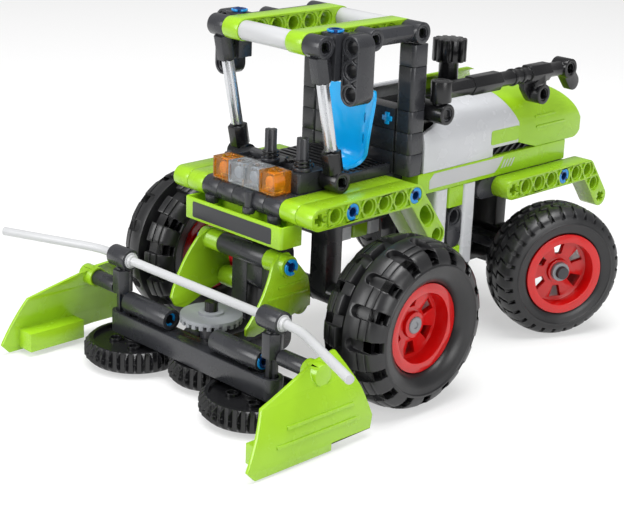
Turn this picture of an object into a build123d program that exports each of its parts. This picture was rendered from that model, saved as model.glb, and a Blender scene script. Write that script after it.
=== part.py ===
"""A toy combine harvester made of pin-and-beam construction pieces.

X points forward, Y to the left and Z up. The origin is on the floor under the middle of the toy.
Lengths are millimetres. Most pieces sit on the building grid, so the tables give their places as
shares of the pitch: x and z count from the first pin hole of the front fenders, y from the middle.
"""
from build123d import *
import os
from math import atan2, cos, degrees, pi, radians, sin

# The building grid
pitch = 8.0
seam = 0.1
pin_hole_r = 2.4
running_fit = 0.05
tube_r = 3.85
axle_tip_r = 2.2
axle_web = 1.8
half_thick = 3.9
overrun = 1.0

# Where the grid stands over the floor
deck_z = 66.0
first_hole_x = 53.17

# Wheels
front_tyre_r = 30.0
front_tyre_w = 26.5
rear_tyre_r = 26.0
rear_tyre_w = 20.0
rim_r = 16.0
rim_seat_r = 14.2
rim_wall = 1.6
rim_w = 19.0
hub_r = 4.6
front_wheel_y = 54.0
front_axle_x_share = -3.0
front_axle_z_share = -4.5

# Rear axle and steering
kingpin_x_share = -16.0
kingpin_y_share = 3.5
rear_axle_z_share = -5.0
kingpin_to_wheel = 18.0
steer_rest = -23.4
steer_arm = 16.0
knuckle_boss_r = 3.6
knuckle_gap = 0.25
arm_thick = 6.4
tie_rod_clear = 0.45
tie_rod_thick = 3.6

# Header
gear_module = 1.0
outer_teeth = 36
middle_teeth = 28
crown_teeth = 24
cutter_low_share = -8.0
cutter_high_share = -7.03
tooth_depth = 2.0
bevel_share = 0.25
hose_r = 1.6
hose_end_y = 91.2
panel_wall = 1.3

beam_w = pitch - seam
hex_flat_share = cos(radians(30))
pin_r = pin_hole_r - running_fit
axle_r = pin_hole_r - running_fit
ahead = Vector(1, 0, 0)
back = Vector(-1, 0, 0)
left = Vector(0, 1, 0)
right = Vector(0, -1, 0)
up = Vector(0, 0, 1)
down = Vector(0, 0, -1)
os.makedirs("parts", exist_ok=True)


def place(x_share, y_share, z_share):
    """The point that lies at these shares of the pitch on the building grid."""
    return Vector(first_hole_x + x_share * pitch, y_share * pitch, deck_z + z_share * pitch)


def save(shape, name):
    """Labels one finished piece and writes it as its own file."""
    shape.label = name
    export_step(shape, f"parts/{name}.step")


def beam(first, run, across, stations, holes=(), thick=beam_w, width=beam_w):
    """Adds a straight beam; stations counts its grid points, and holes lists those with a pin hole."""
    reach = (stations - 1) * pitch
    with BuildSketch(Plane(origin=first, x_dir=run, z_dir=across)) as outline:
        with Locations((reach / 2, 0)):
            SlotCenterToCenter(reach, width)
        if holes:
            with Locations(*[(station * pitch, 0) for station in holes]):
                Circle(pin_hole_r, mode=Mode.SUBTRACT)
    extrude(outline.sketch, amount=thick / 2, both=True)


def rod(start, run, length, radius, bore=0, mode=Mode.ADD):
    """Adds or cuts a round rod, or a tube where a bore is given."""
    with BuildSketch(Plane(origin=start, z_dir=run)) as ring:
        Circle(radius)
        if bore:
            Circle(bore, mode=Mode.SUBTRACT)
    extrude(ring.sketch, amount=length, mode=mode)


def hex_rod(start, run, x_dir, length, radius):
    """Adds a six-sided sleeve."""
    with BuildSketch(Plane(origin=start, x_dir=x_dir, z_dir=run)) as ring:
        RegularPolygon(radius, 6)
    extrude(ring.sketch, amount=length)


def cross_rod(start, run, x_dir, length):
    """Adds a cross-shaped axle."""
    with BuildSketch(Plane(origin=start, x_dir=x_dir, z_dir=run)) as cross:
        Rectangle(2 * axle_tip_r, axle_web)
        Rectangle(axle_web, 2 * axle_tip_r)
    extrude(cross.sketch, amount=length)


def block(x_shares, y_shares, z_shares, corner=0, mode=Mode.ADD):
    """Adds or cuts a block between pairs of shares of the pitch, half a seam in from each of them."""
    low = place(x_shares[0], y_shares[0], z_shares[0])
    high = place(x_shares[1], y_shares[1], z_shares[1])
    size = high - low - Vector(seam, seam, seam)
    middle = (low + high) / 2
    with BuildSketch(Plane(origin=middle - Vector(0, 0, size.Z / 2))) as base:
        if corner:
            RectangleRounded(size.X, size.Y, corner)
        else:
            Rectangle(size.X, size.Y)
    extrude(base.sketch, amount=size.Z, mode=mode)


# The deck: five dark beams between the fenders
deck_rows_shares = (-2, -1, 0, 1, 2)
deck_stations = 9
with BuildPart() as deck_beams:
    for row_share in deck_rows_shares:
        beam(place(0, row_share, 0), back, left, deck_stations)
save(deck_beams.part, "deck_beams")

# Fenders: a straight run of seven stations and a slanted tail, in the plane of x and z
fender_bend = 53.13
fender_stations = 6
fender_hole_stations = (1, 2, 3, 4, 5, 6)
front_fender_tail_share = 2.7
front_fender_slot_share = 1.35
rear_fender_tail_share = 2.0
rear_fender_hole_share = 1.0
fender_slot_w = 4.8


def cross_hole(angle=0):
    """Cuts a cross-shaped axle hole in a sketch."""
    Rectangle(2 * axle_tip_r, axle_web, rotation=angle, mode=Mode.SUBTRACT)
    Rectangle(axle_web, 2 * axle_tip_r, rotation=angle, mode=Mode.SUBTRACT)


def fender(first, tail_share, hole_share=0, slot_share=0):
    """Adds a bent beam that runs back from its first station and then slants down to the rear.

    The tail has a round hole or an oval one at the given share, and a beam with neither is plain.
    """
    reach = fender_stations * pitch
    turn = radians(fender_bend)
    fall = Vector(cos(turn), -sin(turn)) * pitch
    bend = Vector(reach, 0)
    with BuildSketch(Plane(origin=first, x_dir=back, z_dir=left)) as outline:
        with Locations(bend / 2):
            SlotCenterToCenter(reach, beam_w)
        with Locations(Location(bend + fall * tail_share / 2, (0, 0, -fender_bend))):
            SlotCenterToCenter(tail_share * pitch, beam_w)
        if hole_share or slot_share:
            with Locations(*[(station * pitch, 0) for station in fender_hole_stations]):
                Circle(pin_hole_r, mode=Mode.SUBTRACT)
            cross_hole()
        if hole_share:
            with Locations(bend + fall * hole_share):
                Circle(pin_hole_r, mode=Mode.SUBTRACT)
            with Locations(bend + fall * tail_share):
                cross_hole(-fender_bend)
        if slot_share:
            with Locations(bend + fall * tail_share):
                Circle(pin_hole_r, mode=Mode.SUBTRACT)
            with Locations(Location(bend + fall * slot_share, (0, 0, -fender_bend))):
                SlotOverall(pitch, fender_slot_w, mode=Mode.SUBTRACT)
    extrude(outline.sketch, amount=beam_w / 2, both=True)


front_fender_rows = (
    # row across in shares of the pitch, place of its tail's slot
    (-4, front_fender_slot_share), (-3, 0), (3, 0), (4, front_fender_slot_share),
)
with BuildPart() as front_fenders:
    for row_share, slot_share in front_fender_rows:
        fender(place(0, row_share, 0), front_fender_tail_share, slot_share=slot_share)
save(front_fenders.part, "front_fenders")

rear_fender_y_share = 4.0
rear_fender_x_share = -13.0
rear_fender_z_share = -1.0
with BuildPart() as rear_fenders:
    for side in (-1, 1):
        first = place(rear_fender_x_share, side * rear_fender_y_share, rear_fender_z_share)
        fender(first, rear_fender_tail_share, hole_share=rear_fender_hole_share)
save(rear_fenders.part, "rear_fenders")

# Bumper: a seven-station beam laid flat under the deck's nose
bumper_shares = (0.67, 3.0, -1.0)
bumper_stations = 7
with BuildPart() as front_bumper:
    x_share, y_share, z_share = bumper_shares
    beam(place(x_share, y_share, z_share), right, up, bumper_stations)
save(front_bumper.part, "front_bumper")

# Lamps: a row of four clear cubes on the deck's nose
lamp_x_shares = (-0.7, 0.3)
lamp_z_shares = (0.5, 1.5)
with BuildPart() as clear_lamps:
    for inner_share in (-1, 0):
        block(lamp_x_shares, (inner_share, inner_share + 1), lamp_z_shares)
save(clear_lamps.part, "clear_lamps")
with BuildPart() as amber_lamps:
    for inner_share in (-2, 1):
        block(lamp_x_shares, (inner_share, inner_share + 1), lamp_z_shares)
save(amber_lamps.part, "amber_lamps")

# Console behind the lamps, with two control levers
console_x_shares = (-2.4, -0.7)
console_y_shares = (-2.45, 2.45)
console_z_shares = (0.5, 1.4)
console_well_shares = ((-1.4, -1.2), (-1.4, 1.0))
console_well_l = 6.0
console_well_w = 10.0
lever_rows_shares = (0.0, 2.0)
lever_x_share = -1.3
lever_foot_share = 1.4
lever_top_share = 2.85
lever_collar_r = 3.3
lever_collar_h = 1.4
with BuildPart() as console:
    block(console_x_shares, console_y_shares, console_z_shares, corner=overrun)
    for x_share, y_share in console_well_shares:
        with BuildSketch(Plane(origin=place(x_share, y_share, console_z_shares[0]))) as well:
            Rectangle(console_well_l, console_well_w)
        extrude(well.sketch, amount=pitch, mode=Mode.SUBTRACT)
    for row_share in lever_rows_shares:
        foot = place(lever_x_share, row_share, lever_foot_share)
        rod(foot, up, lever_collar_h, lever_collar_r)
        cross_rod(foot, up, ahead, (lever_top_share - lever_foot_share) * pitch)
save(console.part, "console")

# Front pillars: a leaning bright axle between a black foot and a dark head, either side
pillar_y_share = 3.0
pillar_foot_shares = (-2.3, 1.0)
pillar_head_shares = (-1.0, 7.0)
pillar_sock_reach = 11.5
pillar_head_reach = 13.0
roof_z_share = pillar_head_shares[1]
sock_r = 3.7
with BuildPart() as pillar_feet:
    for side in (-1, 1):
        foot = place(pillar_foot_shares[0], side * pillar_y_share, pillar_foot_shares[1])
        head = place(pillar_head_shares[0], side * pillar_y_share, pillar_head_shares[1])
        lean = (head - foot).normalized()
        rod(foot - left * beam_w / 2, left, beam_w, tube_r, pin_hole_r)
        hex_rod(foot + lean * tube_r * hex_flat_share, lean, left, pillar_sock_reach - tube_r, sock_r)
save(pillar_feet.part, "pillar_feet")
with BuildPart() as front_pillars:
    for side in (-1, 1):
        foot = place(pillar_foot_shares[0], side * pillar_y_share, pillar_foot_shares[1])
        head = place(pillar_head_shares[0], side * pillar_y_share, pillar_head_shares[1])
        lean = (head - foot).normalized()
        length = (head - foot).length - pillar_sock_reach - pillar_head_reach
        cross_rod(foot + lean * pillar_sock_reach, lean, left, length)
save(front_pillars.part, "front_pillars")

# Roof frame: dark heads and side links outside, two lime rails inside, a white tube at each end
roof_rail_y_share = 2.0
roof_stations = 7
link_stops_shares = (-4.0, -7.0)
link_r = 3.3
roof_tube_r = 3.5
roof_rail_holes = (1, 2, 3, 4, 5)
mirror_post_x_shares = (-2.4, -1.6)
mirror_post_half_share = 0.45
mirror_post_z_shares = (5.5, 7.5)
with BuildPart() as roof_links:
    for side in (-1, 1):
        foot = place(pillar_foot_shares[0], side * pillar_y_share, pillar_foot_shares[1])
        head = place(pillar_head_shares[0], side * pillar_y_share, pillar_head_shares[1])
        drop = (foot - head).normalized()
        rod(head - left * beam_w / 2, left, beam_w, tube_r, pin_hole_r)
        hex_rod(head + drop * tube_r * hex_flat_share, drop, left, pillar_head_reach - tube_r, sock_r)
        starts = (pillar_head_shares[0],) + link_stops_shares
        for start_share, stop_share in zip(starts, link_stops_shares):
            stop = place(stop_share, side * pillar_y_share, roof_z_share)
            rod(stop - left * beam_w / 2, left, beam_w, tube_r, pin_hole_r)
            length = (start_share - stop_share) * pitch - 2 * tube_r
            hex_rod(stop + ahead * tube_r * hex_flat_share, ahead, left, length, link_r)
        y_middle = side * pillar_y_share
        y_shares = (y_middle - mirror_post_half_share, y_middle + mirror_post_half_share)
        block(mirror_post_x_shares, y_shares, mirror_post_z_shares)
save(roof_links.part, "roof_links")
with BuildPart() as roof_rails:
    for side in (-1, 1):
        start = place(pillar_head_shares[0], side * roof_rail_y_share, roof_z_share)
        beam(start, back, left, roof_stations, roof_rail_holes)
save(roof_rails.part, "roof_rails")
roof_tube_length = (2 * roof_rail_y_share - 1) * pitch - seam
with BuildPart() as roof_tubes:
    for x_share in (pillar_head_shares[0], link_stops_shares[1]):
        start = place(x_share, 0, roof_z_share) - left * roof_tube_length / 2
        rod(start, left, roof_tube_length, roof_tube_r)
save(roof_tubes.part, "roof_tubes")

# Rear pillars: stacks of dark bricks from the deck to the roof
rear_pillar_x_share = -7.0
rear_pillar_joints_shares = (0.5, 1.5, 2.5, 3.5, 5.5, 6.5)
brick_round = 1.6
with BuildPart() as rear_pillars:
    for side in (-1, 1):
        y_shares = (side * pillar_y_share - 0.5, side * pillar_y_share + 0.5)
        x_shares = (rear_pillar_x_share - 0.5, rear_pillar_x_share + 0.5)
        for low_share, high_share in zip(rear_pillar_joints_shares, rear_pillar_joints_shares[1:]):
            block(x_shares, y_shares, (low_share, high_share), corner=brick_round)
save(rear_pillars.part, "rear_pillars")

# Rear wall of the cab, between the pillars
rear_wall_y_shares = (-2.5, 2.5)
rear_wall_rows_shares = (0.5, 1.5, 2.5, 3.5)
with BuildPart() as rear_wall:
    for low_share, high_share in zip(rear_wall_rows_shares, rear_wall_rows_shares[1:]):
        x_shares = (rear_pillar_x_share - 0.5, rear_pillar_x_share + 0.5)
        block(x_shares, rear_wall_y_shares, (low_share, high_share))
save(rear_wall.part, "rear_wall")

# Mirrors: a hanging three-station beam outside each front roof corner
mirror_shares = (-2.4, 4.0, 7.0)
mirror_stations = 3
with BuildPart() as mirrors:
    for side in (-1, 1):
        x_share, y_share, z_share = mirror_shares
        beam(place(x_share, side * y_share, z_share), down, ahead, mirror_stations, (0, 1, 2))
save(mirrors.part, "mirrors")

# Seat: a tapered back and a short pan
seat_y_share = 1.0
seat_back_shares = ((-5.3, 1.0), (-5.0, 4.6))
seat_back_thick = 4.5
seat_top_w = 17.5
seat_foot_w = 11.0
seat_pan_l = 12.0
seat_pan_thick = 3.0
seat_slot_l = 8.0
seat_slot_w = 1.6
seat_slot_rise_shares = (0.45, 0.62)
with BuildPart() as seat:
    foot = place(seat_back_shares[0][0], seat_y_share, seat_back_shares[0][1])
    top = place(seat_back_shares[1][0], seat_y_share, seat_back_shares[1][1])
    lean = (top - foot).normalized()
    with BuildSketch(Plane(origin=foot, x_dir=left, z_dir=lean)) as low_face:
        Rectangle(seat_foot_w, seat_back_thick)
    with BuildSketch(Plane(origin=top, x_dir=left, z_dir=lean)) as high_face:
        Rectangle(seat_top_w, seat_back_thick)
    loft(Sketch() + [low_face.sketch, high_face.sketch])
    with BuildSketch(Plane(origin=foot + ahead * seat_pan_l / 2)) as pan:
        Rectangle(seat_pan_l, seat_foot_w)
    extrude(pan.sketch, amount=seat_pan_thick)
    for rise_share in seat_slot_rise_shares:
        middle = foot + (top - foot) * rise_share
        with BuildSketch(Plane(origin=middle, x_dir=left, z_dir=lean.cross(left))) as slot:
            SlotOverall(seat_slot_l, seat_slot_w)
        extrude(slot.sketch, amount=seat_back_thick, both=True, mode=Mode.SUBTRACT)
save(seat.part, "seat")
cab_floor_x_shares = (-6.4, -2.6)
cab_floor_z_shares = (0.5, 0.95)
with BuildPart() as cab_floor:
    block(cab_floor_x_shares, rear_wall_y_shares, cab_floor_z_shares)
save(cab_floor.part, "cab_floor")

# Body panels: curved shells standing on the skirts
skirt_x_shares = (-18.2, -7.2)
skirt_y_share = 3.0
panel_foot_share = 0.5
panel_turn_share = 1.6
panel_top_shares = (1.9, 3.4)
panel_mid_shares = (3.1, 2.75)
skirt_outer_share = 3.5
panel_notch_share = 0.92
lime_line_shares = ((-15.8, 0.5), (-14.4, panel_notch_share), (-14.4, 1.9), (-13.4, 3.5), (-16.4, 3.5))
lime_arc_shares = (
    # points on the two arcs of the rounded nose
    (-18.2, 2.75), (-19.3, 1.55), (-19.35, 0.85), (-18.8, 0.5),
)
grey_side_shares = (
    (-7.55, 0.5), (-7.55, 2.3), (-8.6, 2.6), (-8.6, 3.5), (-13.4, 3.5), (-14.4, 1.9),
    (-14.4, panel_notch_share), (-12.5, panel_notch_share), (-12.5, 0.5),
)


def body_shell(side, outline_shares, nose_shares=()):
    """Adds one curved side panel, cut to its outline in the plane of x and z.

    A nose is two arcs that run on from the outline's last point and close it.
    """
    y_out = side * (skirt_outer_share * pitch - seam)
    rows = [
        (y_out, panel_foot_share), (y_out, panel_turn_share),
        (side * panel_mid_shares[0] * pitch, panel_mid_shares[1]),
        (side * panel_top_shares[0] * pitch, panel_top_shares[1]),
    ]
    x_low = min(x_share for x_share, z_share in outline_shares + nose_shares)
    x_high = max(x_share for x_share, z_share in outline_shares)
    with BuildSketch(Plane(origin=place(x_low, 0, 0), x_dir=left, z_dir=ahead)) as section:
        with BuildLine():
            points = [(y, z_share * pitch) for y, z_share in rows]
            Line(points[0], points[1])
            ThreePointArc(points[1], points[2], points[3])
            offset(amount=panel_wall, side=Side.LEFT if side > 0 else Side.RIGHT)
        make_face()
    extrude(section.sketch, amount=(x_high - x_low) * pitch)
    with BuildSketch(Plane(origin=place(0, 0, 0), x_dir=ahead, z_dir=right)) as cut:
        with BuildLine():
            corners = [(x_share * pitch, z_share * pitch) for x_share, z_share in outline_shares]
            Polyline(*corners, close=not nose_shares)
            if nose_shares:
                high, turn, low, foot = [(x_share * pitch, z_share * pitch) for x_share, z_share in nose_shares]
                ThreePointArc(corners[-1], high, turn)
                ThreePointArc(turn, low, foot)
                Line(foot, corners[0])
        make_face()
    keep = extrude(cut.sketch, amount=skirt_outer_share * pitch, both=True, mode=Mode.PRIVATE)
    add(keep, mode=Mode.INTERSECT)


with BuildPart() as left_grey_panel:
    body_shell(1, grey_side_shares)
with BuildPart() as right_grey_panel:
    body_shell(-1, grey_side_shares)
with BuildPart() as left_lime_panel:
    body_shell(1, lime_line_shares, lime_arc_shares)
with BuildPart() as right_lime_panel:
    body_shell(-1, lime_line_shares, lime_arc_shares)
save(left_grey_panel.part, "left_grey_panel")
save(right_grey_panel.part, "right_grey_panel")
save(left_lime_panel.part, "left_lime_panel")
save(right_lime_panel.part, "right_lime_panel")

# Skirts: long lime blocks in line with the deck, and the lime beams under them
under_beam_stations = 7
under_beam_x_share = -12.0
with BuildPart() as skirts:
    for side in (-1, 1):
        y_shares = (side * skirt_y_share - 0.5, side * skirt_y_share + 0.5)
        block(skirt_x_shares, y_shares, (-0.5, panel_foot_share))
save(skirts.part, "skirts")
with BuildPart() as under_beams:
    for side in (-1, 1):
        start = place(under_beam_x_share, side * skirt_y_share, rear_fender_z_share)
        beam(start, back, left, under_beam_stations)
save(under_beams.part, "under_beams")

# Body frame: two long dark beams that carry the panels, on columns between the skirts
frame_y_share = 2.0
frame_beam_z_share = 2.0
frame_beam_x_share = -8.0
frame_stations = 10
column_x_shares = (-9.0, -13.0, -17.0)
column_z_share = -1.0
column_stations = 4
boss_r = 3.0
panel_boss_reach = 3.2
panel_pin_x_shares = (-12.0, -16.0)
cross_tube_share = 1.5
with BuildPart() as body_frame:
    for side in (-1, 1):
        beam(place(frame_beam_x_share, side * frame_y_share, frame_beam_z_share), back, left, frame_stations)
        for x_share in column_x_shares:
            beam(place(x_share, side * frame_y_share, column_z_share), up, left, column_stations)
        for x_share in panel_pin_x_shares:
            start = place(x_share, side * frame_y_share, frame_beam_z_share) + left * side * pitch / 2
            rod(start, left * side, panel_boss_reach, boss_r)
    for x_share in column_x_shares:
        start = place(x_share, -cross_tube_share, frame_beam_z_share)
        rod(start, left, 2 * cross_tube_share * pitch, tube_r)
save(body_frame.part, "body_frame")
engine_x_shares = (-16.4, -9.6)
engine_y_shares = (-1.5, 1.5)
engine_z_shares = (-0.9, 1.4)
with BuildPart() as engine_block:
    block(engine_x_shares, engine_y_shares, engine_z_shares, corner=brick_round)
save(engine_block.part, "engine_block")

# Chassis rails under the deck, and the spacer between them and the deck
rail_y_share = 1.0
rail_z_share = -1.5
rail_x_share = -3.0
rail_stations = 15
spacer_x_shares = (-8.0, -3.0)
spacer_y_shares = (-1.5, 1.5)
spacer_z_shares = (-1.0, -0.5)
with BuildPart() as chassis_rails:
    for side in (-1, 1):
        beam(place(rail_x_share, side * rail_y_share, rail_z_share), back, left, rail_stations)
    block(spacer_x_shares, spacer_y_shares, spacer_z_shares)
save(chassis_rails.part, "chassis_rails")

# Front axle carrier: a tube across the toy on two legs, and the bracket that carries the header
carrier_y_share = 3.5
carrier_leg_y_share = 2.0
carrier_leg_stations = 4
front_axle_depth = 16.0
lift_hinge_shares = (-1.0, -3.5)
bracket_top_share = -1.0
lift_stations = 4
lift_pin_reach_share = 1.45
bracket_relief_x_shares = (-0.85, 0.0)
bracket_relief_y_shares = (-1.0, 1.0)
bracket_relief_z_shares = (-3.0, 0.0)
with BuildPart() as front_carrier:
    hub = place(front_axle_x_share, -carrier_y_share, front_axle_z_share)
    rod(hub, left, 2 * carrier_y_share * pitch, tube_r)
    for side in (-1, 1):
        leg = place(front_axle_x_share, side * carrier_leg_y_share, rail_z_share)
        beam(leg, down, left, carrier_leg_stations)
    rod(hub, left, 2 * carrier_y_share * pitch, pin_hole_r, mode=Mode.SUBTRACT)
save(front_carrier.part, "front_carrier")
bracket_x_share, bracket_z_share = lift_hinge_shares
with BuildPart() as lift_bracket:
    top = place(bracket_x_share, 0, bracket_top_share)
    beam(top, down, left, lift_stations)
    block(bracket_relief_x_shares, bracket_relief_y_shares, bracket_relief_z_shares, mode=Mode.SUBTRACT)
    pin_start = place(bracket_x_share, -lift_pin_reach_share, bracket_z_share)
    rod(pin_start, left, 2 * lift_pin_reach_share * pitch, pin_r)
save(lift_bracket.part, "lift_bracket")

# Struts between the deck and the rear frame: pale legs with a lime spacer and a dark cross piece
strut_x_shares = (-9.0, -11.0)
strut_y_share = 3.0
strut_z_shares = (-4.5, -0.5)
strut_half_share = 0.45
strut_spacer_z_shares = ((-1.5, -0.5), (-4.5, -3.5))
strut_web_z_share = -2.0
strut_web_stations = 2
with BuildPart() as struts:
    for side in (-1, 1):
        y_shares = (side * strut_y_share - 0.5, side * strut_y_share + 0.5)
        for x_share in strut_x_shares:
            x_shares = (x_share - strut_half_share, x_share + strut_half_share)
            block(x_shares, y_shares, strut_z_shares, corner=brick_round)
save(struts.part, "struts")
strut_middle_share = sum(strut_x_shares) / 2
with BuildPart() as strut_spacers:
    for side in (-1, 1):
        y_shares = (side * strut_y_share - 0.5, side * strut_y_share + 0.5)
        x_shares = (strut_x_shares[1] + strut_half_share, strut_x_shares[0] - strut_half_share)
        for z_shares in strut_spacer_z_shares:
            block(x_shares, y_shares, z_shares, corner=overrun)
save(strut_spacers.part, "strut_spacers")
with BuildPart() as strut_webs:
    for side in (-1, 1):
        start = place(strut_middle_share, side * strut_y_share, strut_web_z_share)
        beam(start, down, left, strut_web_stations, (0,), width=half_thick * 2)
save(strut_webs.part, "strut_webs")

# Rear axle carrier: two long beams on legs, and a cross bar with a fork for each knuckle
fork_x_share = kingpin_x_share
ladder_y_share = 1.0
ladder_x_share = -12.0
ladder_stations = 4
ladder_leg_y_share = 2.0
ladder_leg_stations = 5
fork_plate_shares = ((-6.0, -5.5), (-4.5, -4.0))
fork_half_w = 3.9
cross_bar_x_shares = (kingpin_x_share - 0.5, kingpin_x_share + 0.5)
cross_bar_y_shares = (-2.6, 2.6)
cross_bar_z_shares = (-5.5, -4.5)
stay_x_shares = (-16.4, -15.6)
stay_y_shares = (-1.5, 1.5)
stay_z_shares = (-4.1, -2.0)
kingpin_h = 2 * pitch - seam
with BuildPart() as rear_carrier:
    for side in (-1, 1):
        beam(place(ladder_x_share, side * ladder_y_share, rear_axle_z_share), back, left, ladder_stations)
        leg = place(ladder_x_share, side * ladder_leg_y_share, column_z_share)
        beam(leg, down, left, ladder_leg_stations)
    block(cross_bar_x_shares, cross_bar_y_shares, cross_bar_z_shares)
    block(stay_x_shares, stay_y_shares, stay_z_shares)
    for low_share, high_share in fork_plate_shares:
        with BuildSketch(Plane(origin=place(fork_x_share, 0, low_share), x_dir=left)) as plate:
            SlotCenterToCenter(2 * kingpin_y_share * pitch, 2 * fork_half_w)
        extrude(plate.sketch, amount=(high_share - low_share) * pitch)
    for side in (-1, 1):
        rod(place(kingpin_x_share, side * kingpin_y_share, fork_plate_shares[0][0]), up, kingpin_h, pin_r)
save(rear_carrier.part, "rear_carrier")

# Steering knuckles: a boss on the kingpin, a stub axle out and an arm forward, turned as they rest
turn_rest = radians(steer_rest)
heading = Vector(cos(turn_rest), sin(turn_rest), 0)
outward = Vector(-sin(turn_rest), cos(turn_rest), 0)
stub_reach = 27.0
knuckle_h = pitch - 2 * knuckle_gap
arm_w = 6.0
tie_rod_base = beam_w / 2 + tie_rod_clear
arm_pin_h = tie_rod_base + tie_rod_thick + seam - arm_thick / 2


def knuckle(side):
    """Adds one steering knuckle about its kingpin."""
    pin_foot = place(kingpin_x_share, side * kingpin_y_share, rear_axle_z_share - 0.5) + up * knuckle_gap
    axle_start = place(kingpin_x_share, side * kingpin_y_share, rear_axle_z_share)
    rod(pin_foot, up, knuckle_h, knuckle_boss_r)
    with BuildSketch(Plane(origin=axle_start - up * arm_thick / 2, x_dir=heading)) as arm:
        with Locations((steer_arm / 2, 0)):
            SlotCenterToCenter(steer_arm, arm_w)
    extrude(arm.sketch, amount=arm_thick)
    rod(axle_start, outward * side, stub_reach, axle_r)
    rod(pin_foot, up, knuckle_h, pin_hole_r, mode=Mode.SUBTRACT)
    arm_top = axle_start + heading * steer_arm + up * arm_thick / 2
    rod(arm_top, up, arm_pin_h, pin_r)


with BuildPart() as left_knuckle:
    knuckle(1)
save(left_knuckle.part, "left_knuckle")
with BuildPart() as right_knuckle:
    knuckle(-1)
save(right_knuckle.part, "right_knuckle")
with BuildPart() as tie_rod:
    middle = place(kingpin_x_share, 0, rear_axle_z_share) + heading * steer_arm
    base = middle + up * tie_rod_base
    with BuildSketch(Plane(origin=base, x_dir=left)) as bar:
        SlotCenterToCenter(2 * kingpin_y_share * pitch, beam_w)
        with Locations((-kingpin_y_share * pitch, 0), (kingpin_y_share * pitch, 0)):
            Circle(pin_hole_r, mode=Mode.SUBTRACT)
    extrude(bar.sketch, amount=tie_rod_thick)
save(tie_rod.part, "tie_rod")

# Wheels: a fat tyre on a deep dished rim; the outer face looks along the axle
tread_share = 0.45
shoulder_share = 0.83
shoulder_drop = 1.8
sidewall_drop = 6.4
front_lugs = 16
front_slot_w = 4.4
front_slot_depth = 2.6
front_slot_start = 1.6
rear_lugs = 15
rear_slot_w = 2.4
rear_slot_depth = 1.4
rear_slot_start = 3.6
lip_w = 1.6
web_inset = 5.6
web_thick = 2.4
hub_rise = 1.6
window_place = 8.7
window_l = 4.6
window_w = 5.0
window_flank = 75
rim_windows = 6


def tyre(middle, outward_dir, outer_r, width, lugs, slot_w, slot_depth, slot_start):
    """Adds a balloon tyre whose cross slots come in from its two shoulders by turns."""
    half = width / 2
    rings = (
        # share of the half width, radius
        (-1, outer_r - sidewall_drop), (-shoulder_share, outer_r - shoulder_drop), (-tread_share, outer_r),
        (tread_share, outer_r), (shoulder_share, outer_r - shoulder_drop), (1, outer_r - sidewall_drop),
    )
    sections = []
    for offset_share, radius in rings:
        centre = middle + outward_dir * half * offset_share
        with BuildSketch(Plane(origin=centre, x_dir=up, z_dir=outward_dir)) as ring:
            RegularPolygon(radius, 2 * lugs)
        sections.append(ring.sketch)
    loft(sections, ruled=True)
    for face_dir, phase in ((outward_dir, 0.5), (-outward_dir, 1.5)):
        with BuildSketch(Plane(origin=middle + face_dir * slot_start, x_dir=up, z_dir=outward_dir)) as slots:
            with PolarLocations(outer_r, lugs, start_angle=phase * 180 / lugs):
                Rectangle(2 * slot_depth, slot_w)
        reach = half if face_dir == outward_dir else -half
        extrude(slots.sketch, amount=reach, mode=Mode.SUBTRACT)
        dish = []
        for offset, radius in ((half, outer_r - sidewall_drop - seam), (rim_w / 2 - lip_w - seam, rim_r)):
            with BuildSketch(Plane(origin=middle + face_dir * offset, x_dir=up, z_dir=outward_dir)) as ring:
                RegularPolygon(radius, 2 * lugs)
            dish.append(ring.sketch)
        loft(dish, ruled=True, mode=Mode.SUBTRACT)
    with BuildSketch(Plane(origin=middle, x_dir=up, z_dir=outward_dir)) as seat_hole:
        RegularPolygon(rim_seat_r, 2 * lugs, major_radius=False)
    extrude(seat_hole.sketch, amount=half, both=True, mode=Mode.SUBTRACT)


def rim(middle, outward_dir, bore):
    """Adds a rim: a barrel with a lip at each end, and a windowed web with its hub deep inside."""
    barrel_r = rim_seat_r - seam
    inner_r = barrel_r - rim_wall
    inside = middle - outward_dir * rim_w / 2
    web_start = inside + outward_dir * (rim_w - web_inset - web_thick)
    rod(inside, outward_dir, rim_w, barrel_r, inner_r)
    for lip_start in (inside, inside + outward_dir * (rim_w - lip_w)):
        rod(lip_start, outward_dir, lip_w, rim_r - seam, inner_r)
    with BuildSketch(Plane(origin=web_start, x_dir=up, z_dir=outward_dir)) as web:
        Circle(inner_r + seam)
        with PolarLocations(window_place, rim_windows):
            Trapezoid(window_w, window_l, window_flank, rotation=90, mode=Mode.SUBTRACT)
    extrude(web.sketch, amount=web_thick)
    rod(inside + outward_dir * lip_w, outward_dir, rim_w - lip_w - web_inset + hub_rise, hub_r)
    rod(inside, outward_dir, rim_w, bore, mode=Mode.SUBTRACT)


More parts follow.
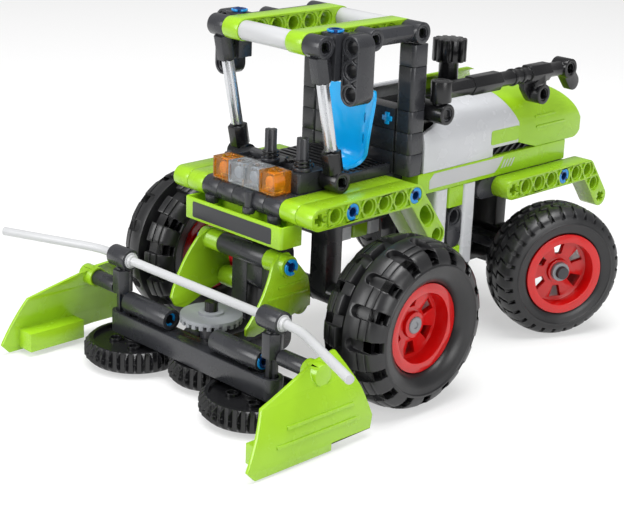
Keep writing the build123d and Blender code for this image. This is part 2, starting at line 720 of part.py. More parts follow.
front_tread = (front_lugs, front_slot_w, front_slot_depth, front_slot_start)
rear_tread = (rear_lugs, rear_slot_w, rear_slot_depth, rear_slot_start)
front_stub_reach = front_wheel_y - carrier_y_share * pitch + rim_w / 2 - web_inset + hub_rise
for side, name in ((1, "left"), (-1, "right")):
    middle = place(front_axle_x_share, 0, front_axle_z_share) + left * side * front_wheel_y
    with BuildPart() as front_tyre:
        tyre(middle, left * side, front_tyre_r, front_tyre_w, *front_tread)
    save(front_tyre.part, f"front_{name}_tyre")
    with BuildPart() as front_rim:
        rim(middle, left * side, axle_r - seam)
        start = place(front_axle_x_share, side * carrier_y_share, front_axle_z_share)
        rod(start - left * side * front_axle_depth, left * side, front_stub_reach + front_axle_depth, axle_r)
    save(front_rim.part, f"front_{name}_rim")
    kingpin = place(kingpin_x_share, side * kingpin_y_share, rear_axle_z_share)
    middle = kingpin + outward * side * kingpin_to_wheel
    with BuildPart() as rear_tyre:
        tyre(middle, outward * side, rear_tyre_r, rear_tyre_w, *rear_tread)
    save(rear_tyre.part, f"rear_{name}_tyre")
    with BuildPart() as rear_rim:
        rim(middle, outward * side, pin_hole_r)
    save(rear_rim.part, f"rear_{name}_rim")

# Header frame: a crossbar with upright pin holes on two L-shaped lift arms
bar_x_share = 3.0
bar_z_share = -6.5
bar_stations = 11
bar_end_share = 5.0
arm_y_share = 1.0
arm_front_x_share = 2.0
arm_flat_stations = 4
arm_up_stations = 5
arm_hinge_stations = (3,)
cutter_y_share = 4.0
middle_cutter_x_share = 2.0
bearing_z_shares = (-6.99, -5.6)
post_y_share = 5.0
bar_holes = (0, 1, 9, 10)
with BuildPart() as header_bar:
    beam(place(bar_x_share, bar_end_share, bar_z_share), right, up, bar_stations, bar_holes)
save(header_bar.part, "header_bar")
with BuildPart() as lift_arms:
    for side in (-1, 1):
        start = place(arm_front_x_share, side * arm_y_share, bar_z_share)
        beam(start, back, left, arm_flat_stations)
        elbow = place(lift_hinge_shares[0], side * arm_y_share, bar_z_share)
        beam(elbow, up, left, arm_up_stations, arm_hinge_stations)
    foot = place(middle_cutter_x_share, 0, bearing_z_shares[0])
    height = (bearing_z_shares[1] - bearing_z_shares[0]) * pitch
    rod(foot, up, height, tube_r)
    rod(foot, up, height, pin_hole_r, mode=Mode.SUBTRACT)
save(lift_arms.part, "lift_arms")

# Tubes along the crossbar and the links out to the side panels
link_z_share = -5.5
link_y_shares = (1.5, 4.5)
outrigger_shares = (2.9, -5.05)
outrigger_y_shares = (5.5, 7.0)
outrigger_r = 2.9
cheek_pin_shares = (0.0, -2.5)
throat_tube_share = 1.5
cheek_pin_y_share = 2.45
cheek_boss_y_share = 2.78
cheek_pin_proud = 0.4
with BuildPart() as bar_links:
    for side in (-1, 1):
        start = place(bar_x_share, side * link_y_shares[0], link_z_share)
        rod(start, left * side, (link_y_shares[1] - link_y_shares[0]) * pitch, tube_r, pin_hole_r)
        start = place(outrigger_shares[0], side * outrigger_y_shares[0], outrigger_shares[1])
        rod(start, left * side, (outrigger_y_shares[1] - outrigger_y_shares[0]) * pitch, outrigger_r)
    start = place(cheek_pin_shares[0], -throat_tube_share, cheek_pin_shares[1]) + left * seam
    rod(start, left, 2 * throat_tube_share * pitch - 2 * seam, tube_r - seam)
save(bar_links.part, "bar_links")

# Posts with rings that carry the white hose
post_foot_share = -6.9
post_top_share = -3.95
ring_z_share = -3.5
ring_half_share = 0.6
post_hex_shares = (-5.15, -4.05)
with BuildPart() as hose_posts:
    for side in (-1, 1):
        foot = place(bar_x_share, side * post_y_share, post_foot_share)
        cross_rod(foot, up, ahead, (post_top_share - post_foot_share) * pitch)
        collar = place(bar_x_share, side * post_y_share, post_hex_shares[0])
        hex_rod(collar, up, left, (post_hex_shares[1] - post_hex_shares[0]) * pitch, sock_r)
        ring_start = place(bar_x_share, side * post_y_share - ring_half_share, ring_z_share)
        rod(ring_start, left, 2 * ring_half_share * pitch, tube_r)
        rod(ring_start, left, 2 * ring_half_share * pitch, pin_hole_r, mode=Mode.SUBTRACT)
save(hose_posts.part, "hose_posts")
hose_end_shares = (5.1, -3.46)
hose_bend_share = 6.6
hose_bend_r = 30.0
hose_collar_r = 2.3
with BuildPart() as hose:
    tip_left = place(hose_end_shares[0], 0, hose_end_shares[1]) + left * hose_end_y
    tip_right = place(hose_end_shares[0], 0, hose_end_shares[1]) + right * hose_end_y
    knee_left = place(bar_x_share, hose_bend_share, ring_z_share)
    knee_right = place(bar_x_share, -hose_bend_share, ring_z_share)
    with BuildLine() as path:
        FilletPolyline(tip_left, knee_left, knee_right, tip_right, radius=hose_bend_r)
    with BuildSketch(Plane(origin=path.line @ 0, z_dir=path.line % 0)):
        Circle(hose_r)
    sweep()
    for side in (-1, 1):
        collar = place(bar_x_share, side * post_y_share - ring_half_share, ring_z_share)
        rod(collar - left * hose_r, left, 2 * ring_half_share * pitch + 2 * hose_r, hose_collar_r)
save(hose.part, "hose")

# Side panels: bowed lime shells outside the cutters, each with a boss for its outrigger
panel_outline_shares = (
    (7.0, -8.17), (7.4, -7.75), (6.27, -5.56), (2.9, -4.6), (1.67, -4.45), (0.88, -6.0),
    (0.45, -7.3), (0.6, -7.85), (2.84, -7.85), (2.84, -8.17),
)
panel_section_shares = ((8.45, -8.3), (8.2, -6.3), (7.2, -4.3))
panel_boss_r = 3.7
panel_boss_y_shares = (7.0, 7.9)
panel_block_x_shares = (3.5, 6.5)
panel_block_y_shares = (7.3, 8.35)
panel_block_z_shares = (-8.0, -7.1)


def side_panel(side):
    """Adds one bowed side panel of the header."""
    x_low = min(x_share for x_share, z_share in panel_outline_shares)
    x_high = max(x_share for x_share, z_share in panel_outline_shares)
    with BuildSketch(Plane(origin=place(x_low, 0, 0), x_dir=left, z_dir=ahead)) as section:
        with BuildLine():
            outer = [(side * y * pitch, z * pitch) for y, z in panel_section_shares]
            inner = [(y - side * panel_wall, z) for y, z in outer]
            ThreePointArc(*outer)
            Line(outer[2], inner[2])
            ThreePointArc(*reversed(inner))
            Line(inner[0], outer[0])
        make_face()
    extrude(section.sketch, amount=(x_high - x_low) * pitch)
    with BuildSketch(Plane(origin=place(0, 0, 0), x_dir=ahead, z_dir=right)) as cut:
        with BuildLine():
            Polyline(*[(x * pitch, z * pitch) for x, z in panel_outline_shares], close=True)
        make_face()
    reach = panel_section_shares[0][0] * pitch
    keep = extrude(cut.sketch, amount=reach, both=True, mode=Mode.PRIVATE)
    add(keep, mode=Mode.INTERSECT)
    start = place(outrigger_shares[0], side * panel_boss_y_shares[0], outrigger_shares[1])
    rod(start, left * side, (panel_boss_y_shares[1] - panel_boss_y_shares[0]) * pitch, panel_boss_r)
    y_shares = sorted(side * share for share in panel_block_y_shares)
    block(panel_block_x_shares, y_shares, panel_block_z_shares)
    rod(start, left * side, panel_boss_r, outrigger_r, mode=Mode.SUBTRACT)


with BuildPart() as left_side_panel:
    side_panel(1)
save(left_side_panel.part, "left_side_panel")
with BuildPart() as right_side_panel:
    side_panel(-1)
save(right_side_panel.part, "right_side_panel")

# Throat cheeks: two curved lime shells between the lift arms and the crossbar
cheek_outline_shares = (
    (2.12, -5.29), (2.25, -4.9), (1.9, -4.3), (0.75, -2.35), (0.3, -2.0), (-0.3, -2.0),
    (-1.2, -3.2), (-1.45, -4.6), (0.5, -5.1), (1.6, -5.45),
)
cheek_section_shares = ((2.35, -5.5), (2.75, -3.9), (2.35, -1.9))
cheek_x_shares = (-1.5, 2.5)
cheek_link_shares = (-1.0, -4.5)
cheek_boss_foot_share = 1.5
with BuildPart() as throat_cheeks:
    for side in (-1, 1):
        with BuildSketch(Plane(origin=place(cheek_x_shares[0], 0, 0), x_dir=left, z_dir=ahead)) as section:
            with BuildLine():
                outer = [(side * y * pitch, z * pitch) for y, z in cheek_section_shares]
                inner = [(y - side * panel_wall, z) for y, z in outer]
                ThreePointArc(*outer)
                Line(outer[2], inner[2])
                ThreePointArc(*reversed(inner))
                Line(inner[0], outer[0])
            make_face()
        with BuildSketch(Plane(origin=place(0, 0, 0), x_dir=ahead, z_dir=right)) as cut:
            with BuildLine():
                Polyline(*[(x * pitch, z * pitch) for x, z in cheek_outline_shares], close=True)
            make_face()
        shell_l = (cheek_x_shares[1] - cheek_x_shares[0]) * pitch
        shell = extrude(section.sketch, amount=shell_l, mode=Mode.PRIVATE)
        keep = extrude(cut.sketch, amount=cheek_section_shares[1][0] * pitch, both=True, mode=Mode.PRIVATE)
        add(shell & keep)
        start = place(cheek_pin_shares[0], side * cheek_boss_foot_share, cheek_pin_shares[1])
        rod(start, left * side, (cheek_boss_y_share - cheek_boss_foot_share) * pitch, tube_r)
        start = place(cheek_link_shares[0], side * cheek_boss_foot_share, cheek_link_shares[1])
        rod(start + left * side * seam, left * side, pitch, tube_r)
        start = place(cheek_pin_shares[0], side * cheek_pin_y_share, cheek_pin_shares[1])
        rod(start, left * side, pitch, pin_hole_r, mode=Mode.SUBTRACT)
save(throat_cheeks.part, "throat_cheeks")

# Cutters: double-bevelled gear wheels on upright axles, in mesh with each other
gear_hub_r = 4.6
gear_hub_h = 1.0
gear_recess_r = 10.0
gear_recess_depth = 1.6
tooth_flank = 72
cutter_h = (cutter_high_share - cutter_low_share) * pitch


def cutter(middle, teeth, phase, shaft_top):
    """Adds one bevelled gear with its upright shaft; phase is where its first tooth points."""
    tip_r = (teeth + 2) * gear_module / 2
    root_r = tip_r - tooth_depth
    tooth_w = pi * gear_module / 2
    with BuildSketch(Plane(origin=middle)) as plan:
        Circle(root_r)
        with PolarLocations(root_r, teeth, start_angle=phase):
            with Locations((tooth_depth / 2 - seam, 0)):
                Trapezoid(tooth_w, tooth_depth + 2 * seam, tooth_flank, rotation=-90)
    extrude(plan.sketch, amount=cutter_h)
    bevel = cutter_h * bevel_share
    with BuildSketch(Plane(origin=middle, x_dir=ahead, z_dir=right)) as profile:
        with BuildLine():
            Polyline(
                (0, 0), (root_r, 0), (tip_r, bevel), (tip_r, cutter_h - bevel), (root_r, cutter_h),
                (0, cutter_h), close=True,
            )
        make_face()
    keep = revolve(profile.sketch, axis=Axis(middle, up), mode=Mode.PRIVATE)
    add(keep, mode=Mode.INTERSECT)
    recess = middle + up * (cutter_h - gear_recess_depth)
    rod(recess, up, cutter_h, gear_recess_r, gear_hub_r, mode=Mode.SUBTRACT)
    rod(middle, up, (shaft_top - cutter_low_share) * pitch, axle_r)


middle_heading = degrees(atan2(cutter_y_share, bar_x_share - middle_cutter_x_share))
tooth_turn = 360 / middle_teeth
tooth_offset = round(middle_heading / tooth_turn) * tooth_turn - middle_heading
left_phase = middle_heading + 180 - tooth_offset * middle_teeth / outer_teeth + 180 / outer_teeth
outer_shaft_top_share = -6.05
middle_shaft_top_share = -4.4
with BuildPart() as left_cutter:
    middle = place(bar_x_share, cutter_y_share, cutter_low_share)
    cutter(middle, outer_teeth, left_phase, outer_shaft_top_share)
save(left_cutter.part, "left_cutter")
with BuildPart() as middle_cutter:
    cutter(place(middle_cutter_x_share, 0, cutter_low_share), middle_teeth, 0, middle_shaft_top_share)
save(middle_cutter.part, "middle_cutter")
with BuildPart() as right_cutter:
    middle = place(bar_x_share, -cutter_y_share, cutter_low_share)
    cutter(middle, outer_teeth, -left_phase, outer_shaft_top_share)
save(right_cutter.part, "right_cutter")
crown_r = 11.0
crown_z_shares = (-5.3, -4.95)
crown_rim_w = 2.4
with BuildPart() as crown_gear:
    base = place(middle_cutter_x_share, 0, crown_z_shares[0])
    height = (crown_z_shares[1] - crown_z_shares[0]) * pitch
    rod(base + up * height / 2, up, height / 2, crown_r, axle_r)
    rod(base, up, height + gear_hub_h, gear_hub_r, axle_r)
    with BuildSketch(Plane(origin=base)) as teeth:
        with PolarLocations(crown_r - crown_rim_w / 2, crown_teeth):
            Rectangle(crown_rim_w, gear_module * pi / 2)
    extrude(teeth.sketch, amount=height / 2 + seam)
save(crown_gear.part, "crown_gear")

# Discharge tube: a ribbed tube that swings out about the upright pin of its front lug
spout_y_share = 3.87
spout_z_share = 4.35
spout_pivot_x_share = -8.0
spout_lug_z_share = 3.35
spout_lug_half_share = 0.45
spout_rear_lug_x_share = -15.0
spout_end_x_share = -17.0
spout_tube_r = 2.8
spout_sleeves = (
    # share where it starts, share where it stops, radius
    (-8.0, -9.9, 3.3), (-9.9, -11.9, 3.9), (-14.1, -15.6, 3.9),
)
spout_ring_x_shares = (-12.9, -13.5)
spout_ring_r = 3.3
spout_ring_l = 1.4
spout_flap_angle = 50.0
spout_flap_thick = 3.6
spout_flap_w = 6.4
spout_lug_recess = 1.2
spout_clear = 0.3
spout_mount_y_share = 2.0
with BuildPart() as spout_mount:
    lug = place(spout_pivot_x_share, spout_mount_y_share, spout_lug_z_share)
    lug_l = (spout_y_share + spout_lug_half_share - spout_mount_y_share) * pitch
    rod(lug, left, lug_l, tube_r)
    rod(lug + left * (lug_l - spout_lug_recess), left, pitch, pin_hole_r, mode=Mode.SUBTRACT)
    seat_top = place(spout_pivot_x_share, spout_mount_y_share, frame_beam_z_share + 0.5)
    hex_rod(seat_top, up, left, (spout_lug_z_share - frame_beam_z_share - 0.5) * pitch, sock_r)
    pivot = place(spout_pivot_x_share, spout_y_share, spout_lug_z_share)
    rod(pivot, up, (spout_z_share - spout_lug_z_share) * pitch + tube_r, pin_r)
save(spout_mount.part, "spout_mount")
with BuildPart() as discharge_tube:
    pivot = place(spout_pivot_x_share, spout_y_share, spout_z_share)
    rod(pivot, back, (spout_pivot_x_share - spout_end_x_share) * pitch, spout_tube_r)
    for start_share, stop_share, radius in spout_sleeves:
        sleeve = place(start_share, spout_y_share, spout_z_share)
        hex_rod(sleeve, back, left, (start_share - stop_share) * pitch, radius)
    for x_share in spout_ring_x_shares:
        rod(place(x_share, spout_y_share, spout_z_share), back, spout_ring_l, spout_ring_r)
    stem = place(spout_rear_lug_x_share, spout_y_share, spout_lug_z_share)
    hex_rod(stem, up, left, (spout_z_share - spout_lug_z_share) * pitch, sock_r)
    end = place(spout_end_x_share, spout_y_share, spout_z_share)
    fall = Vector(-cos(radians(spout_flap_angle)), 0, -sin(radians(spout_flap_angle)))
    beam(end, fall, left, 2, thick=spout_flap_thick, width=spout_flap_w)
    for middle in (stem, end):
        lug = middle - left * spout_lug_half_share * pitch
        rod(lug, left, 2 * spout_lug_half_share * pitch, tube_r)
        rod(lug, left, 2 * spout_lug_half_share * pitch, pin_hole_r, mode=Mode.SUBTRACT)
    sleeve = place(spout_pivot_x_share, spout_y_share, spout_lug_z_share) + up * (tube_r + spout_clear)
    sleeve_h = (spout_z_share - spout_lug_z_share) * pitch - spout_clear
    rod(sleeve, up, sleeve_h, tube_r)
    rod(sleeve, up, sleeve_h, pin_hole_r, mode=Mode.SUBTRACT)
save(discharge_tube.part, "discharge_tube")

# Steering knob: a ribbed gear on a tube that stands between the body panels
knob_x_share = -13.0
knob_z_share = 5.05
knob_r = 6.6
knob_h = 8.6
knob_ribs = 12
knob_core_r = 5.2
knob_rib_w = 1.8
knob_foot_share = 2.5
with BuildPart() as knob:
    foot = place(knob_x_share, 0, knob_foot_share)
    low = place(knob_x_share, 0, knob_z_share) - up * knob_h / 2
    rod(foot, up, (low - foot).length + seam, tube_r)
    with BuildSketch(Plane(origin=low)) as plan:
        Circle(knob_core_r)
        with PolarLocations((knob_r + knob_core_r) / 2 - overrun, knob_ribs):
            Rectangle(knob_r - knob_core_r + 2 * overrun, knob_rib_w)
    extrude(plan.sketch, amount=knob_h)
save(knob.part, "knob")

# Blue pins that show in the fenders, on the mirrors' posts, in the crossbar's tubes and the cheeks
fender_pin_x_shares = (-2.0, -6.0)
fender_pin_foot_share = 3.55
rear_pin_x_share = -17.0
pin_end_share = 4.45
post_pin_h = 1.2
link_pin_y_share = 3.6
link_pin_l = 7.6
with BuildPart() as blue_pins:
    for side in (-1, 1):
        length = (pin_end_share - fender_pin_foot_share) * pitch
        for x_share in fender_pin_x_shares:
            rod(place(x_share, side * fender_pin_foot_share, 0), left * side, length, pin_r)
        start = place(rear_pin_x_share, side * fender_pin_foot_share, rear_fender_z_share)
        rod(start, left * side, length, pin_r)
        post_x_share = sum(mirror_post_x_shares) / 2
        rod(place(post_x_share, side * pillar_y_share, mirror_post_z_shares[1]), up, post_pin_h, pin_r)
save(blue_pins.part, "blue_pins")
with BuildPart() as header_pins:
    for side in (-1, 1):
        rod(place(bar_x_share, side * link_pin_y_share, link_z_share), left * side, link_pin_l, pin_r)
        start = place(cheek_pin_shares[0], side * cheek_pin_y_share, cheek_pin_shares[1])
        length = (cheek_boss_y_share - cheek_pin_y_share) * pitch + cheek_pin_proud
        rod(start, left * side, length, pin_r)
save(header_pins.part, "header_pins")
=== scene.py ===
"""Looks for a toy combine harvester built of pins and beams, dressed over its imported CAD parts.

Lengths are metres in the CAD's own frame: X forward, Y left, Z up. Most places are counted in steps
of the toy's building grid, from the first pin hole of the front fenders, as grid() works them out.
"""
import math

import bmesh
import bpy
from mathutils import Matrix, Vector


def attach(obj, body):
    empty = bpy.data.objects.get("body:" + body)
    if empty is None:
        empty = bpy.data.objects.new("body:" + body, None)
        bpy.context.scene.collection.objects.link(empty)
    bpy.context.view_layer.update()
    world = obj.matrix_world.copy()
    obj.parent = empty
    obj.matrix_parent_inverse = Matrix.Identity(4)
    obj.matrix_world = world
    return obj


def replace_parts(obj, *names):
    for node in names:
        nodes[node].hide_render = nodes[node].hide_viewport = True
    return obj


MM = 0.001
PITCH = 8 * MM
FIRST_HOLE_X = 53.17 * MM
DECK_Z = 66 * MM
BEAM_HALF = 3.95 * MM

# Rounding of the moulded edges: on beams and panels, and on small or toothed pieces
EDGE = 0.22 * MM
FINE_EDGE = 0.12 * MM

UP = Vector((0, 0, 1))
LEFT = Vector((0, 1, 0))
AHEAD = Vector((1, 0, 0))


def grid(x, y, z):
    """The point at these steps of the building grid."""
    return Vector((FIRST_HOLE_X + x * PITCH, y * PITCH, DECK_Z + z * PITCH))


def side_view(points):
    """The same points, given as x and z in steps of the grid, in metres."""
    return [(corner.x, corner.z) for corner in (grid(x, 0, z) for x, z in points)]


# Materials

SURFACES = {
    # how fine the clouds of colour, the changes of gloss and the grain are; the grain's height in millimetres
    "plastic": (60.0, 140.0, 1800.0, 0.003),
    "rubber": (90.0, 160.0, 2600.0, 0.006),
    "metal": (120.0, 200.0, 2000.0, 0.002),
    "clear": (300.0, 200.0, 900.0, 0.004),
}
NOISE_SPAN = (0.3, 0.7)
PLASTIC_IOR = 1.5
RUBBER_IOR = 1.52
LAMP_IOR = 1.45
COAT_ROUGHNESS = 0.15
LAMP_TRANSMISSION = 0.85
PLATED_METALLIC = 0.85


def nodes_of(material):
    """Empties a material's node tree but for its output and one main shader, and returns the tree."""
    material.use_nodes = True
    tree = material.node_tree
    tree.nodes.clear()
    shader = tree.nodes.new("ShaderNodeBsdfPrincipled")
    output = tree.nodes.new("ShaderNodeOutputMaterial")
    tree.links.new(shader.outputs["BSDF"], output.inputs["Surface"])
    return tree, shader


def add_noise(tree, scale, detail):
    """Noise over a piece's surface, fixed to the piece."""
    where = tree.nodes.new("ShaderNodeTexCoord")
    noise = tree.nodes.new("ShaderNodeTexNoise")
    noise.inputs["Scale"].default_value = scale
    noise.inputs["Detail"].default_value = detail
    tree.links.new(where.outputs["Object"], noise.inputs["Vector"])
    return noise.outputs["Fac"]


def add_grain(tree, shader, scale, height):
    """A fine moulded grain in the surface, as bump."""
    bump = tree.nodes.new("ShaderNodeBump")
    bump.inputs["Distance"].default_value = height
    bump.inputs["Strength"].default_value = 1.0
    tree.links.new(add_noise(tree, scale, 4.0), bump.inputs["Height"])
    tree.links.new(bump.outputs["Normal"], shader.inputs["Normal"])


def add_mottle(tree, shader, colour, depth, scale):
    """A slight cloudy change of the base colour, as moulded plastic has."""
    ramp = tree.nodes.new("ShaderNodeValToRGB")
    dark = [c * (1 - depth) for c in colour]
    pale = [min(1.0, c * (1 + depth)) for c in colour]
    for stop, place, shade in zip(ramp.color_ramp.elements, NOISE_SPAN, (dark, pale)):
        stop.position = place
        stop.color = (*shade, 1)
    tree.links.new(add_noise(tree, scale, 3.0), ramp.inputs["Fac"])
    tree.links.new(ramp.outputs["Color"], shader.inputs["Base Color"])


def add_sheen_wear(tree, shader, low, high, scale):
    """Roughness that wanders between two values, as on handled plastic."""
    spread = tree.nodes.new("ShaderNodeMapRange")
    spread.inputs["From Min"].default_value, spread.inputs["From Max"].default_value = NOISE_SPAN
    spread.inputs["To Min"].default_value = low
    spread.inputs["To Max"].default_value = high
    tree.links.new(add_noise(tree, scale, 5.0), spread.inputs["Value"])
    tree.links.new(spread.outputs["Result"], shader.inputs["Roughness"])


def finish_surface(kind, tree, shader, colour, mottle, rough):
    """Clouds of colour, wandering gloss and a grain, each as fine as this kind of surface has them."""
    clouds, sheen, grain, height = SURFACES[kind]
    add_mottle(tree, shader, colour, mottle, clouds)
    add_sheen_wear(tree, shader, rough[0], rough[1], sheen)
    add_grain(tree, shader, grain, height * MM)


def plastic(name, colour, rough=(0.2, 0.3), mottle=0.04, coat=0.0):
    """Moulded plastic of one colour."""
    material = bpy.data.materials.new(name)
    tree, shader = nodes_of(material)
    shader.inputs["IOR"].default_value = PLASTIC_IOR
    shader.inputs["Coat Weight"].default_value = coat
    shader.inputs["Coat Roughness"].default_value = COAT_ROUGHNESS
    finish_surface("plastic", tree, shader, colour, mottle, rough)
    return material


def rubber(name, colour):
    """Tyre rubber with a fine grain and a slight mottle."""
    material = bpy.data.materials.new(name)
    tree, shader = nodes_of(material)
    shader.inputs["IOR"].default_value = RUBBER_IOR
    finish_surface("rubber", tree, shader, colour, 0.35, (0.3, 0.42))
    return material


def metal(name, colour, rough):
    """Bright metallic paint or plated plastic."""
    material = bpy.data.materials.new(name)
    tree, shader = nodes_of(material)
    shader.inputs["Metallic"].default_value = PLATED_METALLIC
    finish_surface("metal", tree, shader, colour, 0.04, (rough, rough + 0.1))
    return material


def clear_plastic(name, colour, rough):
    """Tinted clear plastic, as on the lamps."""
    material = bpy.data.materials.new(name)
    tree, shader = nodes_of(material)
    shader.inputs["Transmission Weight"].default_value = LAMP_TRANSMISSION
    shader.inputs["IOR"].default_value = LAMP_IOR
    finish_surface("clear", tree, shader, colour, 0.08, (rough, rough + 0.08))
    return material


LIME = plastic("lime_plastic", (0.27, 0.49, 0.012), coat=0.15)
DARK = plastic("dark_grey_plastic", (0.026, 0.027, 0.031), rough=(0.22, 0.34), mottle=0.1)
BLACK = plastic("black_plastic", (0.007, 0.007, 0.008), rough=(0.16, 0.28), mottle=0.15)
SILVER = plastic("silver_grey_plastic", (0.5, 0.51, 0.53), rough=(0.22, 0.3), mottle=0.03, coat=0.3)
GREY = plastic("mid_grey_plastic", (0.21, 0.22, 0.235), rough=(0.3, 0.42))
RED = plastic("red_plastic", (0.5, 0.003, 0.003), rough=(0.14, 0.22), coat=0.2)
BLUE = plastic("blue_plastic", (0.005, 0.24, 0.62), rough=(0.18, 0.26), coat=0.1)
# A darker copy of the pins' blue: painted shade for the hollow cores of the pins
PIN_CORE_PAINTED_SHADE = plastic("pin_blue_painted_shade", (0.002, 0.035, 0.16), rough=(0.2, 0.3))
SEAT_BLUE = plastic("seat_blue_plastic", (0.002, 0.36, 0.78), rough=(0.18, 0.26), coat=0.1)
WHITE = plastic("white_plastic", (0.44, 0.445, 0.455), rough=(0.3, 0.4), mottle=0.02)
BRIGHT = metal("bright_axle", (0.62, 0.63, 0.65), 0.2)
TYRE = rubber("tyre_rubber", (0.009, 0.009, 0.01))
CLEAR = clear_plastic("clear_lamp_plastic", (0.78, 0.82, 0.85), 0.08)
AMBER = clear_plastic("amber_lamp_plastic", (1.0, 0.42, 0.02), 0.05)
BULB = plastic("lamp_bulb", (0.9, 0.5, 0.02), rough=(0.2, 0.3))
REFLECTOR = plastic("lamp_reflector", (0.34, 0.37, 0.42), rough=(0.15, 0.25))
PLATE = plastic("blank_plate", (0.02, 0.021, 0.024), rough=(0.3, 0.4))

PAINT = {
    "amber_lamps": AMBER, "clear_lamps": CLEAR, "seat": SEAT_BLUE,
    # the blue pins and header pins take the darker blue, painted shade in their hollow cores
    "blue_pins": PIN_CORE_PAINTED_SHADE, "header_pins": PIN_CORE_PAINTED_SHADE, "front_pillars": BRIGHT,
    "knob": BLACK, "discharge_tube": BLACK, "spout_mount": BLACK, "pillar_feet": BLACK,
    "roof_tubes": WHITE, "hose": WHITE, "crown_gear": GREY,
    "struts": SILVER, "left_grey_panel": SILVER, "right_grey_panel": SILVER,
    "left_cutter": BLACK, "middle_cutter": BLACK, "right_cutter": BLACK,
    "engine_block": BLACK, "body_frame": BLACK, "rear_carrier": BLACK,
}
LIME_NODES = (
    "front_fenders", "rear_fenders", "roof_rails", "skirts", "left_lime_panel", "right_lime_panel",
    "strut_spacers", "front_bumper", "left_side_panel", "right_side_panel", "throat_cheeks",
)


def paint_nodes(nodes):
    """Gives every CAD node its material."""
    for name, node in nodes.items():
        if name.endswith("tyre"):
            material = TYRE
        elif name.endswith("rim"):
            material = RED
        elif name in LIME_NODES:
            material = LIME
        else:
            material = PAINT.get(name, DARK)
        node.data.materials.clear()
        node.data.materials.append(material)


# Making forms

DOUBLE_REACH = 0.0001 * MM
WELD_REACH = 0.002 * MM
SHARP_TURN = math.radians(32)
BEVEL_TURN = math.radians(36)
BEVEL_STEPS = 2
FLAT_TURN = math.radians(0.6)


class Form:
    """Closed shells under construction, in the toy's own frame."""

    def __init__(self):
        self.mesh = bmesh.new()

    def prism(self, origin, across, along, outline, depth):
        """Extrudes an outline that lies in the plane of two directions, by a depth square to it."""
        rise = across.cross(along).normalized() * depth
        low = [self.mesh.verts.new(origin + across * a + along * b) for a, b in outline]
        high = [self.mesh.verts.new(vert.co + rise) for vert in low]
        self.mesh.faces.new(list(reversed(low)))
        self.mesh.faces.new(high)
        for index, corner in enumerate(low):
            turn = (index + 1) % len(low)
            self.mesh.faces.new((corner, low[turn], high[turn], high[index]))

    def lathe(self, origin, axis, profile, sides=40):
        """Turns a closed profile of radii and heights about an axis."""
        start = axis.orthogonal().normalized()
        rings = []
        for step in range(sides):
            out = Matrix.Rotation(math.tau * step / sides, 3, axis) @ start
            rings.append([self.mesh.verts.new(origin + out * r + axis * h) for r, h in profile])
        for ring, following in zip(rings, rings[1:] + rings[:1]):
            for index in range(len(profile)):
                turn = (index + 1) % len(profile)
                self.mesh.faces.new((ring[index], following[index], following[turn], ring[turn]))

    def rod(self, start, axis, length, radius, sides=32, bore=0.0):
        """Adds a round rod, or a tube where a bore is given."""
        self.lathe(start, axis, ((bore, 0), (radius, 0), (radius, length), (bore, length)), sides)

    def box(self, low, high):
        """Adds a block between two corners."""
        size = high - low
        outline = ((0, 0), (size.x, 0), (size.x, size.y), (0, size.y))
        self.prism(low, AHEAD, LEFT, outline, size.z)

    def data(self, name):
        """Closes the forms and gives them as a mesh."""
        bmesh.ops.remove_doubles(self.mesh, verts=self.mesh.verts, dist=DOUBLE_REACH)
        bmesh.ops.recalc_face_normals(self.mesh, faces=self.mesh.faces)
        data = bpy.data.meshes.new(name)
        self.mesh.to_mesh(data)
        self.mesh.free()
        return data


def arc(middle_a, middle_b, radius, start, stop, steps=12):
    """Points on an arc between two angles in degrees."""
    turns = [math.radians(start + (stop - start) * step / steps) for step in range(steps + 1)]
    return [(middle_a + radius * math.cos(turn), middle_b + radius * math.sin(turn)) for turn in turns]


def slot_outline(length, width):
    """A slot with round ends about its own middle."""
    reach = (length - width) / 2
    return arc(reach, 0, width / 2, -90, 90) + arc(-reach, 0, width / 2, 90, 270)


def ribbon(points, half):
    """The outline of a thick zigzag line."""
    points = [Vector(point) for point in points]
    runs = [(after - before).normalized() for before, after in zip(points, points[1:])]
    sides = []
    for index, point in enumerate(points):
        before = runs[max(index - 1, 0)]
        after = runs[min(index, len(runs) - 1)]
        square = (before + after).normalized()
        square = Vector((-square.y, square.x))
        spread = half / max(0.3, square.dot(Vector((-after.y, after.x))))
        sides.append((point + square * spread, point - square * spread))
    return [tuple(left) for left, right in sides] + [tuple(right) for left, right in reversed(sides)]


def smooth_group():
    """A node group that shades a finished mesh smooth, apart from the edges that turn sharply."""
    group = bpy.data.node_groups.new("smooth_by_angle", "GeometryNodeTree")
    group.interface.new_socket("Geometry", in_out="INPUT", socket_type="NodeSocketGeometry")
    group.interface.new_socket("Geometry", in_out="OUTPUT", socket_type="NodeSocketGeometry")
    start = group.nodes.new("NodeGroupInput")
    end = group.nodes.new("NodeGroupOutput")
    turn = group.nodes.new("GeometryNodeInputMeshEdgeAngle")
    sharp = group.nodes.new("FunctionNodeCompare")
    sharp.data_type = "FLOAT"
    sharp.operation = "GREATER_THAN"
    sharp.inputs[1].default_value = SHARP_TURN
    normals = group.nodes.new("GeometryNodeSetMeshNormal")
    normals.mode = "SHARPNESS"
    normals.inputs["Remove Custom"].default_value = True
    group.links.new(start.outputs[0], normals.inputs["Mesh"])
    group.links.new(turn.outputs["Unsigned Angle"], sharp.inputs[0])
    group.links.new(sharp.outputs[0], normals.inputs["Edge Sharpness"])
    group.links.new(normals.outputs[0], end.inputs[0])
    return group


SMOOTH = smooth_group()


